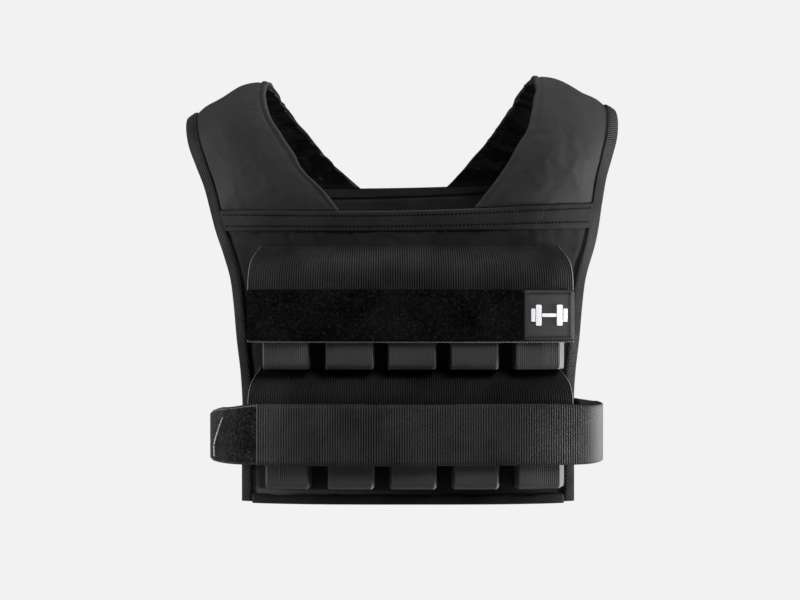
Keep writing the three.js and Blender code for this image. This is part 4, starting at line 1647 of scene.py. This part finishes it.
@dataclass
class Tapes:
    """The herringbone tape folded round the edges, and its stitches."""

    garment: Garment
    station_pitch: float = 3.0
    corner: float = 1.3
    stitch_inset: float = 7.9
    hem_fold: float = 1.6
    hem_share: float = 0.72
    width: float = 26.5
    hem_waver: Slack = Slack(0.8, 11, 52)
    thread: Thread = Thread(2.6, 1.7, 0.2, 0.25)

    def section(self) -> Array:
        """The folded tape's section.

        Returns:
            Points of distance from the edge and distance out, once round.
        """
        cut = self.garment.cut
        low, high = -cut.gap - cut.tape_wall, cut.panel_wall + cut.gap + cut.tape_wall
        wide, r = cut.binding_width, self.corner
        across = np.linspace(wide - 0.5, r, 7)
        crown = 0.25 * np.sin(np.linspace(0, math.pi, 7))
        turn = np.linspace(0, math.pi / 2, 4)
        outside = np.stack([across, high + crown - np.where(across > wide - 1, 0.2, 0)], -1)
        shoulder = np.stack([r - r * np.sin(turn), high - r + r * np.cos(turn)], -1)[1:]
        foot = np.stack([r - r * np.cos(turn), low + r - r * np.sin(turn)], -1)
        side = np.stack([np.full(4, -0.25), np.linspace(high - r, low + r, 6)[1:-1]], -1)
        inside = np.stack([across[::-1], np.full(7, low)], -1)[1:]
        within = [
            (wide, low + 0.4), (wide, -cut.gap), (cut.tape_wall, -cut.gap),
            (cut.tape_wall, cut.panel_wall + cut.gap), (wide, cut.panel_wall + cut.gap), (wide, high - 0.5),
        ]
        return np.concatenate([outside, shoulder, side, foot, inside, np.array(within)])

    def hem_height(self, x: Array, from_edge: Array) -> Array:
        """Height of the hem's tape, whose upper edge wavers.

        Args:
            x: Place across the panel.
            from_edge: Distance from the tape's fold.

        Returns:
            The height.
        """
        cut = self.garment.cut
        share = from_edge / cut.binding_width
        height = cut.hem + from_edge * self.hem_share - self.hem_fold * (1 - share)
        return height + self.hem_waver.at(x, 0 * x) * share

    def folded(self, name: str, run: Run, stations: Array) -> bpy.types.Object:
        """Builds a run of tape.

        Args:
            name: The piece's name.
            run: The run.
            stations: Places along the edge.

        Returns:
            The object.
        """
        section = self.section()
        along, from_edge, out = stations[:, None], section[None, :, 0], section[None, :, 1]
        rings = run.surface(along, run.level(along, from_edge), out)
        around_tape = np.r_[0, np.cumsum(np.linalg.norm(np.diff(section, axis=0), axis=-1))]
        travelled = lengths(rings[:, :1], 0)
        uv = np.stack([run.slant * travelled + 0 * around_tape, around_tape + 0 * travelled], -1)
        return wrapped(name, rings, uv)

    def runs(self) -> list[Run]:
        """The runs round both sides, over the shoulders, and along both hems.

        Returns:
            The runs in the order in which they are sewn.
        """
        cut, garment = self.garment.cut, self.garment
        reach = garment.side_edge(cut.hem) - cut.binding_width - cut.gap
        sides = [
            Run(
                node=f"binding_{side.word}",
                finish=Finishes.tape,
                sample=np.linspace(0, 3, 1200),
                surface=partial(garment.by_edge, side),
                level=lambda along, from_edge: from_edge,
                middle=4.0,
                seam=self.stitch_inset,
                slant=-side.value,
            )
            for side in Side
        ]
        hems = [
            Run(
                node=f"hem_{facing.word}",
                finish=Finishes.hem,
                sample=np.linspace(-reach, reach, 600),
                surface=partial(garment.off_panel, facing),
                level=self.hem_height,
                middle=cut.hem + 4,
                seam=cut.hem + self.stitch_inset * self.hem_share - 0.3,
            )
            for facing in Facing
        ]
        return sides + hems

    def make(self, finishes: Finishes) -> None:
        """Builds, stitches and dresses every run of tape.

        Args:
            finishes: The vest's finishes.
        """
        cut = self.garment.cut
        out = cut.panel_wall + cut.gap + cut.tape_wall
        for run in self.runs():
            kind, end = run.node.split("_")
            travelled = lengths(run.surface(run.sample, run.middle, 3.0), 0)
            stations = evenly(run.sample, travelled, self.station_pitch)
            tape = self.folded(f"{kind}_tape_{end}", run, stations)
            finishes.dress(tape, (run.finish,), [run.node])
            points = run.surface(stations, run.seam, out + 0.15)
            outs = run.surface(stations, run.seam, out + 1.15) - points
            stitches = self.thread.sew(f"{kind}_stitches_{end}", [(points, outs)])
            finishes.dress(stitches, (Finishes.thread,))


@dataclass
class Flap:
    """A flap of ribbed webbing over a row of pockets."""

    garment: Garment
    facing: Facing
    row: int
    pitch: float = 2.2
    rib: float = 0.55
    rows: int = 34
    ease: Slack = Slack(0.5, 38, 61)
    most_ease: float = 0.1

    @property
    def node(self) -> str:
        """The flap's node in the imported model."""
        return f"flap_{self.facing.word}_{ROWS[self.row]}"

    def build(self) -> bpy.types.Object:
        """Builds the flap with its ribs.

        Returns:
            The flap.
        """
        cut, garment = self.garment.cut, self.garment
        ends = np.array([cut.row_shift - cut.flap_half, cut.row_shift + cut.flap_half])
        sample = np.linspace(*ends, 1200)
        travelled = lengths(garment.off_flap(self.facing, self.row, sample, 0.7, cut.webbing_wall), 0)
        x = evenly(sample, travelled, self.pitch / RIB_STEPS, RIB_STEPS)[None, :]
        down = np.linspace(0, 1, self.rows)[:, None] ** 0.9
        rib_at = np.arange(x.size) / RIB_STEPS
        crown = ribs(rib_at, 1.0, self.rib)
        level = cut.webbing_wall - self.rib * 0.75
        ease = self.ease.at(x, down * cut.flap_drops[self.row], self.row)
        ease = np.minimum(ease, self.most_ease) * smooth(down, 0.1, 0.4)
        outer = garment.off_flap(self.facing, self.row, x, down, level + crown + ease)
        inner = garment.off_flap(self.facing, self.row, x[:, ::RIB_STEPS], down, 0.0)
        uv = np.stack([rib_at * self.pitch + 0 * down, cloth_map(outer)[..., 1]], -1)
        # The cut ends and the lower edge show lighter: the webbing's own cut edges, with painted highlight
        # where light catches them.
        shown = (0, 0.85, 0.85, 0.85)
        name = self.node + "_webbing"
        return cloth_wall(name, outer, inner, uv, bulge=0.35, cut_edges=shown, edge_columns=2)

    def make(self, finishes: Finishes) -> None:
        """Builds and dresses the flap.

        Args:
            finishes: The vest's finishes.
        """
        # Painted shade: the lower row takes the darker webbing, for the shade under the upper pockets.
        finish = (Finishes.webbing, Finishes.shaded)[self.row]
        flap = finishes.dress(self.build(), (finish, finish), [self.node])
        f"{self.facing.word}_panel_cloth"


@dataclass
class Pouch:
    """A webbing pocket that holds one iron bar."""

    garment: Garment
    facing: Facing
    row: int
    place: int
    pitch: float = 1.9
    rib: float = 0.35
    rib_count: int = 51
    rows: int = 17
    corner: float = 1.5
    flares: tuple[float, ...] = (3.0, 3.0, 3.0, 3.5, 7.0)
    drift: float = 1.5
    row_widths: tuple[float, float] = (1.0, 0.94)
    row_shifts: tuple[float, float] = (0.0, 1.3)
    face_slack: Slack = Slack(0.5, 16, 71)
    face_sink: float = 0.3
    side_slack: Slack = Slack(0.4, 18, 72)

    @property
    def name(self) -> str:
        """Which pocket, as its node's name says it."""
        return f"{self.facing.word}_{ROWS[self.row]}_{self.place + 1}"

    def section(self, depth: float, width: float, lean: float) -> Array:
        """The pouch's plan at one height.

        Args:
            depth: Share of its full depth.
            width: Share of its full width.
            lean: How far its face lies to the left of its seat.

        Returns:
            Points across and out, the ribbed ones first and the sewn side last.
        """
        cut = self.garment.cut
        base, front = cut.pocket_base / 2 * width, cut.pocket_front / 2 * width
        face, lean = cut.pocket_depth * depth, lean * depth
        flare = self.flares[self.place]
        turns = np.array([(-base - flare, 0), (-front + lean, face), (front + lean, face), (base, 0)])
        path = [turns[0]]
        for before, here, after in zip(turns[:-2], turns[1:-1], turns[2:]):
            enter = here + unit(before - here) * self.corner
            leave = here + unit(after - here) * self.corner
            share = np.linspace(0, 1, 6)[:, None]
            path.extend((1 - share) ** 2 * enter + 2 * share * (1 - share) * here + share**2 * leave)
        path.append(turns[-1])
        path = np.array(path)
        travelled = lengths(path, 0)
        even = np.linspace(0, travelled[-1], self.rib_count * RIB_STEPS + 1)
        points = read_line(even, travelled, path)
        run = unit(np.gradient(points, axis=0))
        out = np.stack([-run[:, 1], run[:, 0]], -1)
        fade = smooth(np.minimum(even, travelled[-1] - even), 0, 3)
        rise = ribs(even, travelled[-1] / self.rib_count, self.rib) - self.rib
        points = points + out * (rise * fade)[:, None]
        sewn = np.stack([np.linspace(base, -base - flare, 12)[1:-1], np.zeros(10)], -1)
        return np.concatenate([points, sewn])

    def build(self) -> bpy.types.Object:
        """Builds the pouch.

        Returns:
            The pouch.
        """
        cut, garment = self.garment.cut, self.garment
        flap_top = cut.flap_top(self.row)
        mouth = flap_top - cut.pocket_top_share * cut.flap_drops[self.row]
        height = mouth - (flap_top - cut.pocket_drops[self.row])
        x = cut.row_shift + (self.place - (cut.pockets_in_row - 1) / 2) * cut.pocket_pitch
        x = x + self.row_shifts[self.row]
        seat = garment.off_panel(self.facing, x, mouth - height, cut.pocket_seat)
        normal = garment.off_panel(self.facing, x, mouth - height, cut.pocket_seat + 1) - seat
        across = unit(np.array([-self.facing.value * normal[1], self.facing.value * normal[0], 0]))
        down = np.r_[np.linspace(0, 0.85, self.rows - 6), 0.9, 0.94, 0.965, 0.985, 0.995, 1]
        lean = float(cut.pocket_depth * normal[0] - self.drift)
        which = self.place + 10 * self.row + 20 * self.facing.value
        rings = []
        for share in down:
            depth = float(from_table(POCKET_DEPTH_TABLE, share))
            width = float(from_table(POCKET_WIDTH_TABLE, share)) * self.row_widths[self.row]
            section = self.section(depth, width, lean)
            loose = section[:, 1] / cut.pocket_depth
            slack = (self.face_slack.at(section[:, 0], share * height, which) - self.face_sink) * loose
            side = self.side_slack.at(section[:, 1], share * height, which) * loose
            point = seat + (section[:, :1] - (side * np.sign(section[:, 0]))[:, None]) * across
            point = point + (section[:, 1] + slack)[:, None] * normal
            point[:, 2] = mouth - share * height
            rings.append(point)
        rings = np.array(rings)
        around_pouch = lengths(rings[:1], 1)[0]
        ribbed = around_pouch[self.rib_count * RIB_STEPS]
        along = around_pouch / ribbed * self.rib_count * self.pitch
        uv = np.stack(np.meshgrid(along, down * height), -1)
        pouch = wrapped(f"pouch_{self.name}", rings, uv)
        width = self.row_widths[self.row]
        aside, out = self.section(1.0, width, lean).T
        # Painted highlight: the outer part of each pocket's side that faces +X, to the right, is lighter, as
        # if the lamp at the right fell on it.
        gusset = aside < lean - cut.pocket_front / 2 * width + 0.3
        lit = np.where(gusset & (out > 1) & (out < cut.pocket_depth - 1), 1.0, 0.0)
        mark_rim(pouch, np.tile(lit, len(rings) + 2))
        return pouch

    def make(self, finishes: Finishes) -> None:
        """Builds and dresses the pouch.

        Args:
            finishes: The vest's finishes.
        """
        pouch = finishes.dress(self.build(), (Finishes.pouch,), [f"pocket_{self.name}"])


@dataclass
class FlapFace:
    """What is sewn on the upper flap's face: loop pile and a rubber patch with a plain dumbbell."""

    garment: Garment
    loop_pitch: float = 0.9
    loop_height: float = 0.35
    corner: float = 1.6
    border: float = 2.2
    groove: float = 0.5
    mark_sink: float = 0.15
    pile_slack: Slack = Slack(0.2, 4, 92)
    plates: tuple[tuple[float, float, float], ...] = (
        (0.0, 11.0, 3.2), (-8.0, 4.2, 19.0), (8.0, 4.2, 19.0), (-12.2, 3.2, 12.0), (12.2, 3.2, 12.0),
    )

    def on_face(self, x: Array, z: Array, out: Array) -> Array:
        """Points off the upper front flap's face.

        Args:
            x: Place along the flap.
            z: Height.
            out: Distance out of its face.

        Returns:
            The points.
        """
        cut = self.garment.cut
        down = (cut.flap_top(0) - np.asarray(z, float)) / cut.flap_drops[0]
        stand = cut.pocket_seat + cut.flap_stand * from_table(FLAP_TABLE, down)
        return self.garment.off_panel(Facing.FRONT, x, z, stand + cut.webbing_wall + cut.gap + out)

    @property
    def foot(self) -> float:
        """Height of the lower edge of the strip and the patch."""
        cut = self.garment.cut
        return cut.flap_top(0) - cut.flap_drops[0] + cut.strip_foot

    @property
    def patch_middle(self) -> float:
        """Where the middle of the patch lies along the flap."""
        cut = self.garment.cut
        return cut.row_shift + cut.flap_half - cut.patch_size / 2

    def build_strip(self) -> bpy.types.Object:
        """Builds the strip of loop pile.

        Returns:
            The strip.
        """
        cut = self.garment.cut
        start = cut.row_shift - cut.flap_half
        end = self.patch_middle - cut.patch_size / 2 - cut.patch_space
        every = 4
        count = round((end - start) / self.loop_pitch / every) * every
        x = np.linspace(start, end, count + 1)[None, :]
        top = self.foot + cut.strip_height
        z = np.linspace(top, self.foot, round(cut.strip_height / self.loop_pitch))[:, None]
        rng = np.random.default_rng(91)
        loops = self.loop_height * rng.uniform(-1, 1, (z.shape[0], x.shape[1]))
        loops = loops + self.pile_slack.at(x, z)
        rim = np.minimum(np.minimum(x - start, end - x), np.minimum(z - self.foot, top - z))
        level = cut.pile_wall - 0.5 * (1 - smooth(rim, 0, 2.5))
        outer = self.on_face(x, z, level + loops * smooth(rim, 0, 1.5))
        inner = self.on_face(x, z, 0 * loops)[:, ::every]
        return cloth_wall("loop_pile_strip", outer, inner, cloth_map(outer), bulge=0.2)

    def settle(self, piece: bpy.types.Object, seat: float) -> None:
        """Lays a flat moulded piece on the patch's place on the flap, by its corners.

        Args:
            piece: The piece, moulded flat with X along the flap, Y up and Z out, in millimetres.
            seat: How far out of the flap's face its back lies.
        """
        x, y, out = corners_of(piece).astype(float).T
        height = self.foot + self.garment.cut.patch_height / 2
        laid = self.on_face(x + self.patch_middle, y + height, out + seat) * MM
        piece.data.vertices.foreach_set("co", laid.astype(np.float32).ravel())
        piece.data.update()

    def build_patch(self) -> bpy.types.Object:
        """Moulds the patch: rounded corners, a raised border and a groove round the field.

        Returns:
            The patch.
        """
        cut = self.garment.cut
        size = (cut.patch_size, cut.patch_height, cut.patch_wall)
        patch = moulded_block("rubber_patch", (0, 0, cut.patch_wall / 2), size)
        select_edges(patch, lambda a, b: abs(a.z - b.z) > 0.1)
        bpy.ops.mesh.bevel(offset=self.corner, segments=4, affect="EDGES")
        select_faces(patch, lambda face: face.normal.z > 0.9)
        rounding, field = (0.5, 0.25), (self.border, 0.0)
        groove = ((0.35, -self.groove), (0.7, 0.0), (0.35, self.groove * 0.6))
        for inset, rise in (rounding, field, *groove):
            bpy.ops.mesh.inset(thickness=inset)
            bpy.ops.transform.translate(value=(0, 0, rise))
        for x in np.linspace(-cut.patch_size / 2, cut.patch_size / 2, 16)[1:-1]:
            bpy.ops.mesh.select_all(action="SELECT")
            bpy.ops.mesh.bisect(plane_co=(float(x), 0, 0), plane_no=(1, 0, 0))
        bpy.ops.object.mode_set(mode="OBJECT")
        flat = corners_of(patch)
        edge = np.minimum(cut.patch_size / 2 - np.abs(flat[:, 0]), cut.patch_height / 2 - np.abs(flat[:, 1]))
        # Painted highlight: the top of the raised border is lighter, as where light catches it.
        mark_rim(patch, np.where((edge < self.border + 0.7) & (flat[:, 2] > cut.patch_wall), 0.8, 0.0))
        self.settle(patch, 0)
        return patch

    def build_mark(self) -> bpy.types.Object:
        """Moulds the raised dumbbell: a bar and its plates.

        Returns:
            The mark.
        """
        cut = self.garment.cut
        parts = []
        for x, width, height in self.plates:
            size = (width, height, cut.mark_wall)
            part = moulded_block("patch_dumbbell", (x, 0, cut.mark_wall / 2), size)
            select_edges(part, lambda a, b: abs(a.z - b.z) > 0.1)
            bpy.ops.mesh.bevel(offset=0.8, segments=3, affect="EDGES")
            select_faces(part, lambda face: face.normal.z > 0.9)
            bpy.ops.mesh.inset(thickness=0.25)
            bpy.ops.transform.translate(value=(0, 0, 0.2))
            bpy.ops.mesh.select_all(action="SELECT")
            bpy.ops.mesh.bisect(plane_co=(x, 0, 0), plane_no=(1, 0, 0))
            bpy.ops.object.mode_set(mode="OBJECT")
            parts.append(part)
        bpy.ops.object.select_all(action="DESELECT")
        for part in parts:
            part.select_set(True)
        bpy.context.view_layer.objects.active = parts[0]
        bpy.ops.object.join()
        self.settle(parts[0], cut.patch_wall - self.mark_sink)
        return parts[0]

    def make(self, finishes: Finishes) -> None:
        """Builds and dresses the strip, the patch and the mark.

        Args:
            finishes: The vest's finishes.
        """
        strip = finishes.dress(self.build_strip(), (Finishes.pile, Finishes.pile), ["loop_strip"])
        finishes.dress(self.build_patch(), (Finishes.rubber,), ["patch"])
        finishes.dress(self.build_mark(), (Finishes.white,), ["patch_mark"])


def moulded_block(name: str, middle: tuple, size: tuple) -> bpy.types.Object:
    """Adds a block and leaves it in edit mode, nothing selected.

    Args:
        name: The block's name.
        middle: Where its middle lies.
        size: Its three sizes.

    Returns:
        The block.
    """
    bpy.ops.object.select_all(action="DESELECT")
    bpy.ops.mesh.primitive_cube_add(size=1)
    block = bpy.context.object
    block.name = name
    block.data.name = name
    bpy.ops.object.mode_set(mode="EDIT")
    bpy.ops.mesh.select_all(action="SELECT")
    bpy.ops.transform.resize(value=size)
    bpy.ops.transform.translate(value=middle)
    bpy.ops.mesh.select_all(action="DESELECT")
    return block


def select_edges(block: bpy.types.Object, wanted: Callable) -> None:
    """Selects edges of a block, in edit mode.

    Args:
        block: The block.
        wanted: Says of an edge's two ends whether it is wanted.
    """
    bpy.ops.mesh.select_all(action="DESELECT")
    bpy.ops.object.mode_set(mode="OBJECT")
    corners = block.data.vertices
    for edge in block.data.edges:
        edge.select = wanted(corners[edge.vertices[0]].co, corners[edge.vertices[1]].co)
    bpy.ops.object.mode_set(mode="EDIT")
    bpy.ops.mesh.select_mode(type="EDGE")


def select_faces(block: bpy.types.Object, wanted: Callable) -> None:
    """Selects faces of a block, in edit mode.

    Args:
        block: The block.
        wanted: Says whether a face is wanted.
    """
    bpy.ops.mesh.select_all(action="DESELECT")
    bpy.ops.object.mode_set(mode="OBJECT")
    for face in block.data.polygons:
        face.select = wanted(face)
    bpy.ops.object.mode_set(mode="EDIT")
    bpy.ops.mesh.select_mode(type="FACE")


@dataclass
class Belt:
    """The long webbing round the vest and the loop pile on its tail."""

    garment: Garment
    pitch: float = 2.3
    rib: float = 0.5
    rows: int = 14
    loop_pitch: float = 0.9
    loop_height: float = 0.35
    lower_waver: Slack = Slack(0.5, 60, 95)
    upper_waver: Slack = Slack(0.5, 45, 96)
    fold: tuple[tuple[float, float], ...] = (
        (0.05, -165.0), (0.17, -167.0), (0.46, -172.5), (0.71, -176.0), (1.0, -175.0),
    )
    sag: float = 8.0
    sag_tilt: float = 4.0
    left_tuck: float = 6.0
    # Where the belt's right end is painted lighter, as a highlight of the lamp at the right.
    bright_end: tuple[float, float] = (135.0, 200.0)
    rise: float = 85.0

    def on_flap(self, facing: Facing, x: Array) -> Array:
        """The belt's line in plan where it lies on a flap."""
        cut = self.garment.cut
        return self.garment.off_panel(facing, x, cut.belt_bottom, cut.belt_seat)[..., :2]

    def corner(self, side: Side, facing: Facing) -> Array:
        """The belt's line in plan from the end of a flap to the wearer's side.

        Args:
            side: Which side.
            facing: Which panel carries the flap.

        Returns:
            Points along the line.
        """
        cut = self.garment.cut
        flap_end = cut.row_shift + side.value * cut.flap_half
        end = self.on_flap(facing, flap_end)
        pull = unit(end - self.on_flap(facing, flap_end - side.value))
        at_side = side.value * cut.belt_half_width
        reach = (cut.belt_half_width - abs(end[0])) * cut.belt_pull
        knots = np.array([end, end + pull * reach, (at_side, end[1] * cut.belt_round), (at_side, 0)])
        t = np.linspace(0, 1, 240)[:, None]
        shares = [(1 - t) ** 3, 3 * (1 - t) ** 2 * t, 3 * (1 - t) * t**2, t**3]
        return sum(share * knot for share, knot in zip(shares, knots))

    def line(self) -> dict[str, Array]:
        """The belt's line in plan, on its wearer side, from the end of its tail to its free end.

        Returns:
            Points, directions out, level over the tail, share of the way to the wearer's side, and
            distance travelled.
        """
        cut = self.garment.cut
        left, right = cut.row_shift - cut.flap_half, cut.row_shift + cut.flap_half
        tail_end, free_end = left + cut.belt_tail_length, left + cut.belt_end_inset
        runs = [
            self.on_flap(Facing.FRONT, np.linspace(tail_end, left, 200)),
            self.corner(Side.LEFT, Facing.FRONT),
            self.corner(Side.LEFT, Facing.BACK)[::-1],
            self.on_flap(Facing.BACK, np.linspace(left, right, 500)),
            self.corner(Side.RIGHT, Facing.BACK),
            self.corner(Side.RIGHT, Facing.FRONT)[::-1],
            self.on_flap(Facing.FRONT, np.linspace(right, free_end, 500)),
        ]
        over = np.concatenate([np.full(len(run), k == len(runs) - 1) for k, run in enumerate(runs)])
        points = np.concatenate(runs)
        keep = np.r_[True, np.linalg.norm(np.diff(points, axis=0), axis=-1) > 1e-6]
        points, over = points[keep], over[keep]
        travelled = lengths(points, 0)
        count = round(travelled[-1] / self.pitch) * RIB_STEPS
        even = np.linspace(0, travelled[-1], count + 1)
        point = read_line(even, travelled, points)
        run = unit(np.gradient(point, axis=0))
        margin = (right - free_end) / 20
        past = np.where(np.interp(even, travelled, over.astype(float)) > 0.5, 1, 0)
        past = past * (tail_end + margin + self.rise - point[:, 0])
        return {
            "point": point,
            "out": np.stack([-run[:, 1], run[:, 0]], -1),
            "level": cut.belt_stack * smooth(past, 0, self.rise),
            "side": smooth(np.abs(point[:, 0]), cut.flap_half, cut.belt_half_width),
            "travelled": even,
        }

    def placed(self, line: dict[str, Array], share: Array, inset: float, out: Array) -> Array:
        """Points of the belt.

        Args:
            line: The belt's line.
            share: Share of the way down from its upper edge.
            inset: How far inside the belt's edges.
            out: Distance out of its wearer side.

        Returns:
            Rows by height, columns along the line.
        """
        cut = self.garment.cut
        bottom = cut.belt_bottom + inset + self.lower_waver.at(line["travelled"], 0)
        top = cut.belt_bottom + cut.belt_width - inset - cut.belt_side_tuck * line["side"]
        top = top + self.upper_waver.at(line["travelled"], 9)
        x = line["point"][:, 0]
        behind = smooth(line["point"][:, 1], -cut.torso_half_depth, cut.torso_half_depth)
        sunk = (self.sag - self.sag_tilt * x / cut.belt_half_width) * behind
        tucked = self.left_tuck * (0.3 * smooth(-x, 140, 166) + 0.7 * smooth(-x, 168, 186))
        top, bottom = top - sunk - tucked, bottom - sunk
        z = top[None, :] + (bottom - top)[None, :] * share[:, None]
        flat = line["point"][None] + line["out"][None] * (line["level"][None, :] + out)[..., None]
        return np.concatenate([flat + 0 * z[..., None], z[..., None]], -1)

    def build(self, line: dict[str, Array]) -> bpy.types.Object:
        """Builds the belt with its ribs.

        Args:
            line: The belt's line.

        Returns:
            The piece.
        """
        cut = self.garment.cut
        share = np.linspace(0, 1, self.rows)
        rib_at = np.arange(len(line["travelled"])) / RIB_STEPS
        crown = ribs(rib_at, 1.0, self.rib)
        out = cut.webbing_wall - self.rib * 0.75 + crown[None, :] + 0 * share[:, None]
        outer = self.placed(line, share, 0.0, out)
        inner = self.placed(line, share, 0.0, 0 * out)[:, ::RIB_STEPS]
        uv = np.stack(np.meshgrid(rib_at * self.pitch, share * cut.belt_width), -1)
        belt = cloth_wall("belt_webbing", outer, inner, uv, bulge=0.35, cut_edges=(0.3, 1, 0.3, 1))
        # Painted highlight: the belt's front right end is lighter, where the lamp at the right falls on it.
        mark_more(belt, smooth(outer[..., 0], *self.bright_end) * smooth(-outer[..., 1], 0, 60))
        return belt

    def build_pile(self, line: dict[str, Array]) -> bpy.types.Object:
        """Builds the loop pile on the tail.

        Args:
            line: The belt's line.

        Returns:
            The piece.
        """
        cut = self.garment.cut
        point = line["point"]
        end = int(np.argmax((point[:, 1] > cut.pile_past_side) & (np.arange(len(point)) > 400)))
        every = 2
        count = end // 2 // every * every
        chosen = np.arange(count + 1) * 2
        tail = {key: value[chosen] for key, value in line.items()}
        share = np.linspace(0, 1, round((cut.belt_width - 2 * cut.pile_inset) / self.loop_pitch))
        loops = 1.3 * self.loop_height * np.random.default_rng(97).uniform(-1, 1, (len(share), count + 1))
        edge = np.minimum(share, 1 - share)[:, None] * cut.belt_width
        fold_at = from_table(self.fold, share)[:, None]
        past = (tail["point"][None, :, 0] - fold_at) * np.where(tail["point"][None, :, 1] < 0, 1, -9)
        crest = 0.85 * hump(past, 0.8) * smooth(share, 0.08, 0.2)[:, None]
        crest = crest * smooth(1 - share, 0.02, 0.1)[:, None]
        seat = cut.webbing_wall + cut.gap
        level = seat + cut.pile_wall - 0.4 * (1 - smooth(edge, 0, 2))
        outer = self.placed(tail, share, cut.pile_inset, level + loops * smooth(edge, 0, 1.2) + 1.2 * crest)
        inner = self.placed(tail, share, cut.pile_inset, seat + 0 * loops)[:, ::every]
        # The edges show lighter: the pile's cut edges, with painted highlight along the top.
        shown = (0.62, 0.4, 0.5, 0.4)
        pile = cloth_wall("belt_tail_pile", outer, inner, cloth_map(outer), bulge=0.2, cut_edges=shown)
        # Painted highlight along the fold's crest, and painted light on the pile beyond the fold, where it
        # turns to the left.
        mark_more(pile, np.maximum(crest, 0.37 * smooth(-past, 0, 1.5)))
        return pile

    def make(self, finishes: Finishes) -> None:
        """Builds and dresses the belt and its pile.

        Args:
            finishes: The vest's finishes.
        """
        line = self.line()
        # Painted shade: the belt's wearer side takes the darker webbing.
        belt = finishes.dress(self.build(line), (Finishes.belt, Finishes.shaded), ["belt"])
        faces = (Finishes.tail_pile, Finishes.tail_pile)
        pile = finishes.dress(self.build_pile(line), faces, ["belt_pile"])


# Studio


@dataclass(frozen=True)
class Lamp:
    """A soft lamp of the studio. Metres and watts."""

    name: str
    place: tuple[float, float, float]
    aim: tuple[float, float, float]
    size: tuple[float, float]
    power: float

    def hang(self) -> None:
        """Adds the lamp to the scene."""
        data = bpy.data.lights.new(self.name, "AREA")
        data.shape = "RECTANGLE"
        data.size, data.size_y = self.size
        data.energy = self.power
        lamp = bpy.data.objects.new(self.name, data)
        lamp.location = self.place
        towards = Vector(self.aim) - Vector(self.place)
        lamp.rotation_euler = towards.to_track_quat("-Z", "Y").to_euler()
        bpy.context.scene.collection.objects.link(lamp)


@dataclass
class Studio:
    """The floor, the light and the camera."""

    floor_height: float = -0.75
    floor_radius: float = 1.2
    floor_shade: float = 0.45
    seen_white: float = 0.888
    lit_white: float = 0.11
    eye: tuple[float, float, float] = (-0.020, -1.917, -0.2112)
    lens: float = 88.04
    sensor: float = 36.0
    shift: float = 0.01685
    lamps: tuple[Lamp, ...] = (
        Lamp("key", (0.9, -1.5, 1.4), (0, 0, -0.2), (1.1, 1.1), 58),
        Lamp("right_side", (1.9, 0.1, -0.7), (0.1, -0.1, -0.3), (0.4, 0.7), 95),
        Lamp("left_side", (-1.9, -0.1, -0.2), (-0.1, -0.1, -0.25), (0.4, 0.9), 45),
        Lamp("top", (0.4, 0.3, 1.5), (0, 0, -0.2), (1.2, 0.8), 18),
    )

    def lay_floor(self) -> None:
        """Adds the plain pale floor."""
        bpy.ops.object.select_all(action="DESELECT")
        bpy.ops.mesh.primitive_circle_add(
            vertices=96, radius=self.floor_radius, fill_type="NGON", location=(0, 0, self.floor_height)
        )
        floor = bpy.context.object
        floor.name = "studio_floor"
        made = bpy.data.materials.new("pale_floor")
        made.use_nodes = True
        surface = made.node_tree.nodes["Principled BSDF"]
        surface.inputs["Base Color"].default_value = (self.floor_shade,) * 3 + (1,)
        surface.inputs["Roughness"].default_value = 0.7
        floor.data.materials.append(made)

    def light(self) -> None:
        """Sets the pale surroundings and hangs the lamps."""
        world = bpy.data.worlds.new("studio")
        bpy.context.scene.world = world
        world.use_nodes = True
        world.node_tree.nodes.clear()
        nodes = Nodes(world.node_tree)
        seen = nodes.add("ShaderNodeLightPath").outputs["Is Camera Ray"]
        white = nodes.blend((self.lit_white,) * 3 + (1,), (self.seen_white,) * 3 + (1,), seen)
        sky = nodes.add("ShaderNodeBackground", {"Color": white})
        nodes.add("ShaderNodeOutputWorld", {"Surface": sky.outputs[0]})
        for lamp in self.lamps:
            lamp.hang()

    def set_camera(self) -> None:
        """Places the camera where the photo was taken from."""
        scene = bpy.context.scene
        data = bpy.data.cameras.new("camera")
        data.lens = self.lens
        data.sensor_width = self.sensor
        data.shift_x = self.shift
        camera = bpy.data.objects.new("camera", data)
        camera.location = self.eye
        camera.rotation_euler = (math.pi / 2, 0, 0)
        scene.collection.objects.link(camera)
        scene.camera = camera
        scene.view_settings.view_transform = "Standard"

    def make(self) -> None:
        """Sets up the studio."""
        self.lay_floor()
        self.light()
        self.set_camera()


def main() -> None:
    """Builds the vest piece by piece, then the studio."""
    logging.basicConfig(level=logging.INFO, format="%(name)s %(message)s")
    garment = Garment(Cut())
    finishes = Finishes()
    pieces = [
        Panel(garment, Facing.FRONT, "front_panel", "chest_band"),
        Panel(garment, Facing.BACK, "back_panel", "back_band", creases=()),
        *[Strap(garment, side) for side in Side],
        Tapes(garment),
        *[Flap(garment, facing, row) for facing in Facing for row in range(len(ROWS))],
        *[
            Pouch(garment, facing, row, place)
            for facing in Facing
            for row in range(len(ROWS))
            for place in range(garment.cut.pockets_in_row)
        ],
        FlapFace(garment),
        Belt(garment),
    ]
    for piece in pieces:
        piece.make(finishes)
    Studio().make()


if __name__ == "__main__":
    main()
